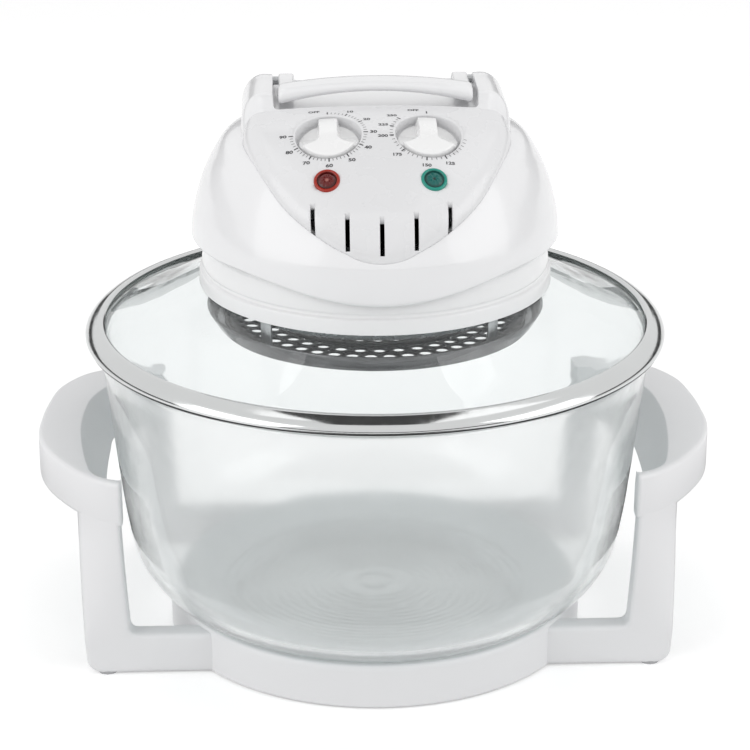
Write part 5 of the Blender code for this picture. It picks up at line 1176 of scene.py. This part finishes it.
TICK_IN, TICK_OUT, NUMBER_R, LETTER, BOLD, FINE = 0.0193, 0.0213, 0.0248, 0.0031, 0.00072, 0.00032
heat_marks = {125: 155, 150: 185, 175: 225, 200: 262, 225: 285, 250: 310}
marks = []
for dial, bold_at, fine_at, letter, number_r, numbers in (
    (TIMER, [0, *range(30, 300, 30)], [a for a in range(6, 276, 6) if a % 30],
     LETTER, NUMBER_R, {minutes: minutes * 3 for minutes in range(10, 100, 10)}),
    (HEAT, [0, *heat_marks.values()], np.arange(102.5, 310, 7.5),
     LETTER * 0.92, NUMBER_R + 0.0006, heat_marks),
):
    marks.append(tick_marks(bold_at, TICK_IN, TICK_OUT + 0.0005, BOLD, dial))
    marks.append(tick_marks(fine_at, TICK_IN + 0.0003, TICK_OUT, FINE, dial))
    marks += [word(str(value), letter, angle, number_r, dial) for value, angle in numbers.items()]
    marks.append(word("OFF", LETTER * 0.9, -18, NUMBER_R - 0.0008, dial))
offsets = np.cumsum([0] + [len(points) for points, _ in marks[:-1]])
mark_faces = [tuple(int(i + offset) for i in face)
              for (_, faces), offset in zip(marks, offsets) for face in faces]
print_mesh = bpy.data.meshes.new("dial_marks")
print_mesh.from_pydata(np.concatenate([points for points, _ in marks]), [], mark_faces)
print_mesh.materials.append(ink)
fit(linked("dial_marks", print_mesh), "lid", "black_plastic")


# Knobs: each one white moulding pushed on a shaft, low in its well: a bar for
# the fingers, left standing between two scoops, that spreads at its lower end
# into the disc's full width.

knob_white = plastic("knob_white", (0.87, 0.87, 0.87), 0.26, patch=20.0, grain=1200.0,
                     relief=0.000006, worn=0.03, coat=0.2)
KNOB_R, KNOB_FOOT, KNOB_TOP, KNOB_EDGE = 0.0166, -0.0087, 0.0016, 0.0008
CROWN_CURVE, CROWN_Y = 12.0, -0.002
SCOOP_FLOOR, SCOOP_SLOPE, SCOOP_Y, SCOOP_WALL = -0.0074, 0.36, 0.0050, 0.0014
BAR_HALF, BAR_TAPER, FLARE, FLARE_Y = 0.0047, 0.0002, 260.0, -0.0030


def knob_height(x, y):
    """The crowned top, and beside the bar a sloping floor. The bar's half width is w, and
    w + k (y0 - y)^2 below y0; the wall between floor and top is a smooth step of
    |x| - half width, and the rim is a quarter circle."""
    crown = KNOB_TOP - CROWN_CURVE * (y - CROWN_Y)**2
    floor = SCOOP_FLOOR + SCOOP_SLOPE * np.maximum(SCOOP_Y - y, 0.0)
    half = BAR_HALF + BAR_TAPER * y / KNOB_R + FLARE * np.maximum(FLARE_Y - y, 0.0)**2
    step = np.clip((np.abs(x) - half) / SCOOP_WALL, 0.0, 1.0)
    z = crown + (floor - crown) * step**2 * (3 - 2 * step)
    near = np.clip(1 - (KNOB_R - np.hypot(x, y)) / KNOB_EDGE, 0.0, 1.0)
    return z - KNOB_EDGE * quarter_fall(near)


def packed_line(low, high, edges, step, near):
    """Grid lines from low to high: even steps, and close ones packed round each edge."""
    one_side = np.array([0.14, 0.28, 0.42, 0.6, 0.8, 1.1, 1.6])
    offsets = np.concatenate([-one_side[::-1], [0.0], one_side]) * near
    evenly = np.linspace(low, high, int(round((high - low) / step)) + 1)
    lines = np.concatenate([evenly] + [edge + offsets for edge in edges])
    lines = np.unique(np.round(np.clip(lines, low, high), 6))
    return lines[np.concatenate([[True], np.diff(lines) > 0.00008])]


def knob(name, place):
    """Stations across X; each loop goes over the top along the chord, y = sqrt(R^2 - x^2) sin v,
    and back under it."""
    half = packed_line(0.0, KNOB_R * 0.90, (BAR_HALF + 0.0006,), 0.0007, 0.0009)
    to_edge = KNOB_R * np.sin(np.linspace(math.asin(0.90), math.pi / 2, 12)[1:])
    half = np.concatenate([half, to_edge])
    x = np.concatenate([-half[::-1], half[1:]])[:, None]
    chord = np.sqrt(np.maximum(KNOB_R**2 - x**2, 0.0))
    y = chord * np.sin(np.linspace(-math.pi / 2, math.pi / 2, 90))[None, :]
    over = np.stack([x + 0 * y, y, knob_height(x, y)], axis=-1)
    back = y[:, ::-6]
    under = np.stack([x + 0 * back, back, KNOB_FOOT + 0 * back], axis=-1)
    points = carried(np.concatenate([over, under], axis=1), place)
    return grid_piece(name, points, knob_white, sharp=60)


fit(knob("left_knob", knob_frames[0]), "timer_control", "knob_plastic", "timer_knob")
fit(knob("right_knob", knob_frames[1]), "temperature_control", "knob_plastic", "temperature_knob")


# Pilot lenses: a red and a green cap of clear-coloured polycarbonate pressed
# in their holes, swelling in eight lobes round a small middle over the bulb.

def lens_finish(name, rim_colour, deep_colour, painted_glint):
    """A coloured lens: its colour runs with the stored share of the radius, from a painted glint in
    the middle through the deep ring and a groove darkened with painted shade to the rim."""
    made, tree, shader, place = new_paint(
        name, Coat_Weight=0.25, Coat_Roughness=0.03, Specular_IOR_Level=0.35)
    share = node(tree, "Attribute", {"attribute_name": "radius_share"}).outputs["Fac"]
    ramp = node(tree, "ValToRGB", Fac=share)
    # painted shade: the groove's colour is the deep colour darkened where the cap dips
    groove = tuple(0.45 * c for c in deep_colour)
    stops = ramp.color_ramp.elements
    stops[0].color, stops[1].color = (*painted_glint, 1), (*rim_colour, 1)
    for position, colour in ((0.08, painted_glint), (0.17, deep_colour), (0.48, deep_colour),
                             (0.64, groove), (0.72, groove), (0.80, rim_colour)):
        stops.new(position).color = (*colour, 1)
    feed(tree, shader.inputs["Base Color"], ramp.outputs["Color"])
    spread_roughness(tree, shader, place, 400.0, 0.10, 0.20)
    lift_surface(tree, shader, cloud(tree, place, 1400.0, 2.0), 0.00002)
    return made


# the middle colour is painted light: a painted highlight over the bulb on the red lens; on the
# green lens it is darker than the deep ring
red_lens = lens_finish("red_lens", rim_colour=(0.34, 0.022, 0.010),
                       deep_colour=(0.115, 0.003, 0.002), painted_glint=(0.36, 0.12, 0.10))
green_lens = lens_finish("green_lens", rim_colour=(0.012, 0.26, 0.20),
                         deep_colour=(0.003, 0.115, 0.10), painted_glint=(0.003, 0.035, 0.03))
LENS_R, LOBE, LOBE_AT, LOBE_WIDE = 0.00725, 0.00022, 0.38, 0.14

# one ring of a lens: share of its radius, height in mm
lens_rings = np.array([
    (0.0, 0.7), (0.07, 0.75), (0.13, 1.05), (0.22, 1.15), (0.33, 1.1), (0.44, 0.95), (0.54, 0.7),
    (0.62, 0.4), (0.68, 0.15), (0.73, 0.2), (0.77, 0.8), (0.82, 1.05), (0.89, 1.05), (0.95, 0.8),
    (0.99, 0.35), (1.0, -0.2), (0.97, -0.6), (0.80, -0.6), (0.80, -9.0), (0.0, -9.0)])


def lens(name, place, material):
    """A cap: radius and height by ring, a round flange, a groove, and a low dome whose middle
    ring swells in eight lobes, cos 8a."""
    spokes = np.linspace(0.0, math.tau, 48, endpoint=False)
    shares, heights = lens_rings[:, :1], lens_rings[:, 1:] * 0.001
    lobes = LOBE * np.cos(8 * spokes)[None, :] * np.exp(-((shares - LOBE_AT) / LOBE_WIDE)**2)
    r = shares * LENS_R + 0 * spokes
    grid = np.stack([r * np.cos(spokes), r * np.sin(spokes), heights + lobes], axis=-1)
    made = grid_piece(name, grid, material, sharp=50)
    points = mesh_points(made.data)
    share = made.data.attributes.new("radius_share", "FLOAT", "POINT")
    share.data.foreach_set("value", np.hypot(points[:, 0], points[:, 1]) / LENS_R)
    made.data.transform(place)
    return made


fit(lens("red_cap", lamp_frames[0], red_lens), "lid", "red_lens", "red_lamp_lens")
fit(lens("green_cap", lamp_frames[1], green_lens), "lid", "green_lens", "green_lamp_lens")


# Saddle: the glossy white bridge over the head that carries the handle. Two
# ears stand each side of a sunk floor, with a slot in it for each handle arm.

FLOOR_Z, EAR_Z, FRONT_Y, BACK_Y, SADDLE_FOOT = 0.3180, 0.3279, -0.0187, 0.0500, 0.2920
RECESS_X, RECESS_FRONT, RECESS_BACK, SADDLE_EDGE = 0.0570, -0.0172, 0.0460, 0.0008
SHOULDER, SHOULDER_DEEP, EAR_RISE, FRONT_BOW = 0.0135, 0.0170, 0.0115, 0.7
SLOT_X, SLOT_Y, SLOT_HALF_X, SLOT_HALF_Y, SLOT_DEEP = 0.0490, 0.0325, 0.0055, 0.0105, 0.006
ear_line = smooth_line([
    (FRONT_Y, 0.0), (0.0280, 0.0), (0.0360, -0.0003), (0.0410, -0.0018), (0.0455, -0.0048),
    (BACK_Y, -0.0100)], 120)


def smooth_step(gap, wall):
    """From 0 outside to 1 inside a wall this wide: a smooth step of the signed distance."""
    u = np.clip((gap + wall / 2) / wall, 0.0, 1.0)
    return 1 - u**2 * (3 - 2 * u)


def box_distance(x, y, middle, half, corner):
    """The signed distance to a rectangle with round corners."""
    dx = np.abs(x - middle[0]) - half[0] + corner
    dy = np.abs(y - middle[1]) - half[1] + corner
    outside = np.hypot(np.maximum(dx, 0), np.maximum(dy, 0))
    return outside + np.minimum(np.maximum(dx, dy), 0) - corner


def saddle_height(x, y):
    """In front the panel's bow, behind the rear panel's height; the ears rise out of it by a
    smooth step of y, roll down to the sides as a quarter ellipse and run out on the dome; then
    the floor of the recess and the arm slots in it."""
    edge = np.interp(y, [0.030, RECESS_BACK, BACK_Y], [FRONT_TOP, 0.3197, 0.3171])
    edge = edge - x**2 / (2 * FRONT_BOW) * np.clip(y / FRONT_Y, 0.0, 1.0)
    rise = np.clip((y - FRONT_Y) / EAR_RISE, 0.0, 1.0)
    ear = EAR_Z + np.interp(y, ear_line[:, 0], ear_line[:, 1])
    ear = edge + (ear - edge) * np.where(y < 0.02, rise**1.6 * (2.6 - 1.6 * rise), 1.0)
    inmost, full = SADDLE_HALF / 6, SADDLE_HALF - 0.0095
    share = np.clip((np.abs(x) - inmost) / (full - inmost), 0.0, 1.0)
    crown = edge + (ear - edge) * share**2 * (3 - 2 * share)
    side = np.clip((np.abs(x) - SADDLE_HALF + SHOULDER) / SHOULDER, 0.0, 1.0)
    crown = crown - SHOULDER_DEEP * quarter_fall(side)
    on_dome = np.interp(np.hypot(x, y), dome_line[::-1, 0], dome_line[::-1, 1]) - 0.0002
    crown = np.maximum(crown, on_dome)
    middle, half = (RECESS_FRONT + RECESS_BACK) / 2, (RECESS_BACK - RECESS_FRONT) / 2
    inside = smooth_step(box_distance(x, y, (0.0, middle), (RECESS_X, half), 0.003), 0.0016)
    z = crown + (np.minimum(crown, FLOOR_Z) - crown) * inside
    slot = box_distance(np.abs(x), y, (SLOT_X, SLOT_Y), (SLOT_HALF_X, SLOT_HALF_Y), 0.0012)
    return z - SLOT_DEEP * smooth_step(slot, 0.0008) * inside


SHOULDER_X = SADDLE_HALF - SHOULDER
edges_x = (SLOT_X - SLOT_HALF_X, SLOT_X + SLOT_HALF_X, RECESS_X)
edges_y = (RECESS_FRONT, SLOT_Y - SLOT_HALF_Y, SLOT_Y + SLOT_HALF_Y, RECESS_BACK)
half_lines = packed_line(0.0, SHOULDER_X, edges_x, 0.003, 0.0010)
down_side = SHOULDER_X + SHOULDER * np.sin(np.linspace(0.0, math.pi / 2, 14))[1:]
half_lines = np.concatenate([half_lines[half_lines < SHOULDER_X], [SHOULDER_X], down_side])
saddle_x = np.concatenate([-half_lines[::-1], half_lines[1:]])
end_steps = np.array([0.00005, 0.0002, 0.0004])
saddle_y = packed_line(FRONT_Y + SADDLE_EDGE, BACK_Y - SADDLE_EDGE, edges_y, 0.0025, 0.0010)
saddle_y = np.concatenate([FRONT_Y + end_steps, saddle_y, BACK_Y - end_steps[::-1]])
X, Y = np.meshgrid(saddle_x, saddle_y, indexing="xy")
end_gap = np.minimum(Y - FRONT_Y, BACK_Y - Y)
end_fall = SADDLE_EDGE * quarter_fall(np.clip(1 - end_gap / SADDLE_EDGE, 0, 1))
top = np.stack([X, Y, saddle_height(X, Y) - end_fall], axis=-1)
left, right = top[:, :1] * (1, 1, 0), top[:, -1:] * (1, 1, 0)
wall_in, foot_up, wall_up = np.array([0.003, 0, 0]), (0, 0, SADDLE_FOOT), (0, 0, 0.3100)
section = np.concatenate([
    top, right + foot_up, right - wall_in + foot_up, right - wall_in + wall_up,
    left + wall_in + wall_up, left + wall_in + foot_up, left + foot_up], axis=1)
saddle = grid_piece("handle_saddle_shell", section, gloss_white, ends=(True, True), sharp=50)
fit(saddle, "lid", "head_plastic", "handle_saddle")


# Handle: the folding carrying handle, one white moulding of an arched bar and
# two arms that turn on steel pins in the ears. A cam on the right hub works
# the safety switch below.

PIVOT_Y, PIVOT_Z, HUB, FOLD = 0.034, 0.324, 0.0040, math.radians(75)
HANDLE_HALF, HANDLE_Y, ARM_X, ARM_HALF = 0.0545, -0.004, 0.0498, 0.0044
BAR_DEEP, BAR_THICK, BAR_ARCH, BAR_MIDDLE, BAR_END = 0.0088, 0.0036, 0.0058, 0.3322, 0.0026
bar_section = filleted(np.array([
    (-1.0, -0.35), (-0.98, 0.25), (-0.80, 0.72), (-0.40, 0.95), (0.10, 1.0), (0.60, 0.86),
    (0.95, 0.40), (1.0, -0.30), (0.80, -0.90), (-0.75, -0.90)]) * (BAR_DEEP, BAR_THICK),
    0.005, 4, closed=True)
bar_ends = HANDLE_HALF - np.array([0.0, 0.00015, 0.0005, 0.0010, 0.0017, BAR_END])
bar_x = np.concatenate([bar_ends, np.linspace(0.0505, 0.0, 27)])
bar_x = np.concatenate([-bar_x, bar_x[::-1][1:]])
draw = 0.0022 * quarter_fall(np.clip(1 - (HANDLE_HALF - np.abs(bar_x)) / BAR_END, 0, 1))
bar_rings = []
for x, inset in zip(bar_x, draw):
    to_end = (x / HANDLE_HALF)**2
    ring = drawn_in(bar_section * (1.0, 1.0 + 0.45 * to_end), inset)
    middle_z = BAR_MIDDLE - BAR_ARCH * to_end
    ring += (HANDLE_Y, middle_z)
    bar_rings.append(np.column_stack([np.full(len(ring), x), ring]))
pieces = [grid_piece("bar", np.stack(bar_rings), gloss_white, ends=(True, True))]
hub_turn = np.radians(np.linspace(100, -100, 15))
hub = arc_points(PIVOT_Y, PIVOT_Z, HUB, hub_turn)
arm_top = [(-0.006, 0.3282), (0.006, 0.3286), (0.0220, 0.3280)]
arm_low = [(0.0220, 0.3204), (0.0060, 0.3228), (-0.006, 0.3232)]
arm_outline = filleted(np.concatenate([arm_top, hub, arm_low]), 0.003, 4, closed=True)
for side in (-1, 1):
    levels = rounded_levels(side * ARM_X - ARM_HALF, side * ARM_X + ARM_HALF, 0.0012)
    pieces.append(slab("arm", arm_outline, levels, gloss_white, sideways))
cam_turn = FOLD * np.linspace(-0.2, 1.08, 16)
cam_reach = 0.0104 - 0.003 / FOLD * np.maximum(cam_turn, 0.0)
cam_edge = np.stack([PIVOT_Y + cam_reach * np.sin(cam_turn),
                     PIVOT_Z - cam_reach * np.cos(cam_turn)], axis=1)
cam = np.concatenate([[(PIVOT_Y, PIVOT_Z)], cam_edge])
pieces.append(slab("cam", cam, upright(0.046, 0.050), gloss_white, sideways))
fit(joined("carry_handle_bar", *pieces), "carry_handle", "head_plastic", "handle")


# Power inlet: a black flanged appliance socket with three plated blades,
# pushed into the rear boss from outside.

FLANGE_OUT = 0.1093
socket_shape = filleted([
    (0.012, -0.008), (0.012, 0.0045), (0.0075, 0.008), (-0.0075, 0.008), (-0.012, 0.0045),
    (-0.012, -0.008)], 0.0012, 3, closed=True)


def with_socket(name, outline, levels):
    """A black block with the socket sunk in it from behind."""
    cutter = slab("socket_cutter", socket_shape, upright(0.0908, 0.115), black, rearward)
    return cut_away(slab(name, outline, levels, black, rearward), cutter)


flange_levels = [(0.0, 0.1068), (0.0, FLANGE_OUT - 0.0010), (0.0003, FLANGE_OUT - 0.0003),
                 (0.0010, FLANGE_OUT)]
inlet_flange = with_socket("inlet_flange", rounded_box(0.0185, 0.0145, 0.003), flange_levels)
inlet_body = with_socket("inlet_body", rounded_box(0.0139, 0.0099, 0.0012),
                         upright(0.0884, FLANGE_OUT - 0.0005))
fit(joined("inlet_socket", inlet_flange, inlet_body), "lid", "black_plastic", "power_inlet")
blade_outline = rounded_box(0.001, 0.002, 0.0004, 2)
blade_levels = [(0.0, 0.0900), (0.0, 0.1026), (0.0005, 0.1033)]
blades = [
    slab("blade", blade_outline + (across, lift), blade_levels, zinc, rearward)
    for across, lift in ((-0.0075, -0.001), (0.0, 0.002), (0.0075, -0.001))
]
fit(joined("inlet_blades", *blades), "lid", "zinc_steel")


# Studio: a white floor that keeps the object's soft shadow and has a painted shadow under the
# ring, a white surround, large soft lamps, and a camera at the angle of the photograph.

camera_data = bpy.data.cameras.new("camera")
camera_data.lens, camera_data.sensor_width = 122.8, 36.0
camera = linked("camera", camera_data)
camera.location = (-0.0562, -1.3989, 0.70)
camera.rotation_euler = (math.radians(90 - 21.28), 0.0, math.radians(-2.3))
bpy.context.scene.camera = camera

world = bpy.data.worlds.new("surround")
bpy.context.scene.world = world
world.use_nodes = True
sky = world.node_tree
seen = either_ray(sky, "Camera", "Glossy", "Transmission")
strength = node(sky, "MapRange", Value=seen, To_Min=0.70, To_Max=1.0)
feed(sky, sky.nodes["Background"].inputs["Strength"], strength.outputs["Result"])
feed(sky, sky.nodes["Background"].inputs["Color"], (1.0, 1.0, 1.0, 1))

FLOOR_GLOW = 0.30
floor_paint, floor_tree, floor_shader, floor_place = new_paint(
    "white_floor", Base_Color=(0.86, 0.86, 0.86, 1), Roughness=0.9, Specular_IOR_Level=0.1,
    Emission_Color=(1, 1, 1, 1))
glow = either_ray(floor_tree, "Camera", "Glossy", "Transmission")
glow = number(floor_tree, "MULTIPLY", glow, FLOOR_GLOW)
# painted shadow: inside and under the stand ring the floor's glow is taken away, so the floor is
# darker there, fading out towards the ring's foot
from_middle = node(floor_tree, "VectorMath", {"operation": "LENGTH"})
feed(floor_tree, from_middle.inputs[0], floor_place)
outside_painted_shadow = node(floor_tree, "MapRange", Value=from_middle.outputs["Value"],
                     From_Min=0.095, From_Max=0.122)
glow = number(floor_tree, "MULTIPLY", glow, outside_painted_shadow.outputs["Result"])
feed(floor_tree, floor_shader.inputs["Emission Strength"], glow)
span = np.linspace(-3.0, 3.0, 2)
floor_grid = np.stack(np.meshgrid(span, span, indexing="ij") + [np.zeros((2, 2))], axis=-1)
grid_piece("floor", floor_grid, floor_paint, around=False)


# Dark cards, seen by glossy rays only, draw the dark lines in the chromed band:
# rings on the floor and at the horizon, and flat sheets in front and overhead.

card_black = plastic("card_black", (0.05, 0.05, 0.05), 0.9)
CARD = 0.0006


def flat_card(name, half_wide, near_y, far_y, low):
    """A level sheet."""
    corners = [(-half_wide, near_y), (half_wide, near_y), (half_wide, far_y), (-half_wide, far_y)]
    return slab(name, np.array(corners), upright(low, low + CARD), card_black)


for card in (
    turned("floor_card", ring_section(0.200, 0.420, 0.0012, 0.0018), card_black, 96),
    flat_card("front_card", 0.30, -0.85, -0.422, 0.0012),
    turned("horizon_card", ring_section(2.40, 2.41, 0.25, 0.62), card_black, 96),
    flat_card("overhead_card", 0.43, -0.8, 0.9, 1.90),
):
    card.visible_camera = card.visible_diffuse = False
    card.visible_transmission = card.visible_shadow = False


def soft_lamp(name, place, size, power):
    """A square area lamp that faces the middle of the object."""
    data = bpy.data.lights.new(name, "AREA")
    data.shape, data.size, data.energy = "SQUARE", size, power
    lamp = linked(name, data)
    lamp.location = place
    towards = Vector((0.0, 0.0, 0.16)) - Vector(place)
    lamp.rotation_euler = towards.to_track_quat("-Z", "Y").to_euler()
    return lamp


soft_lamp("top_lamp", (0.1, 0.2, 2.0), 1.6, 4.5)
soft_lamp("left_lamp", (-1.7, -1.05, 1.0), 1.7, 14.0)
soft_lamp("right_lamp", (1.8, -0.80, 0.95), 1.5, 11.5)

bpy.context.scene.view_settings.view_transform = "Standard"
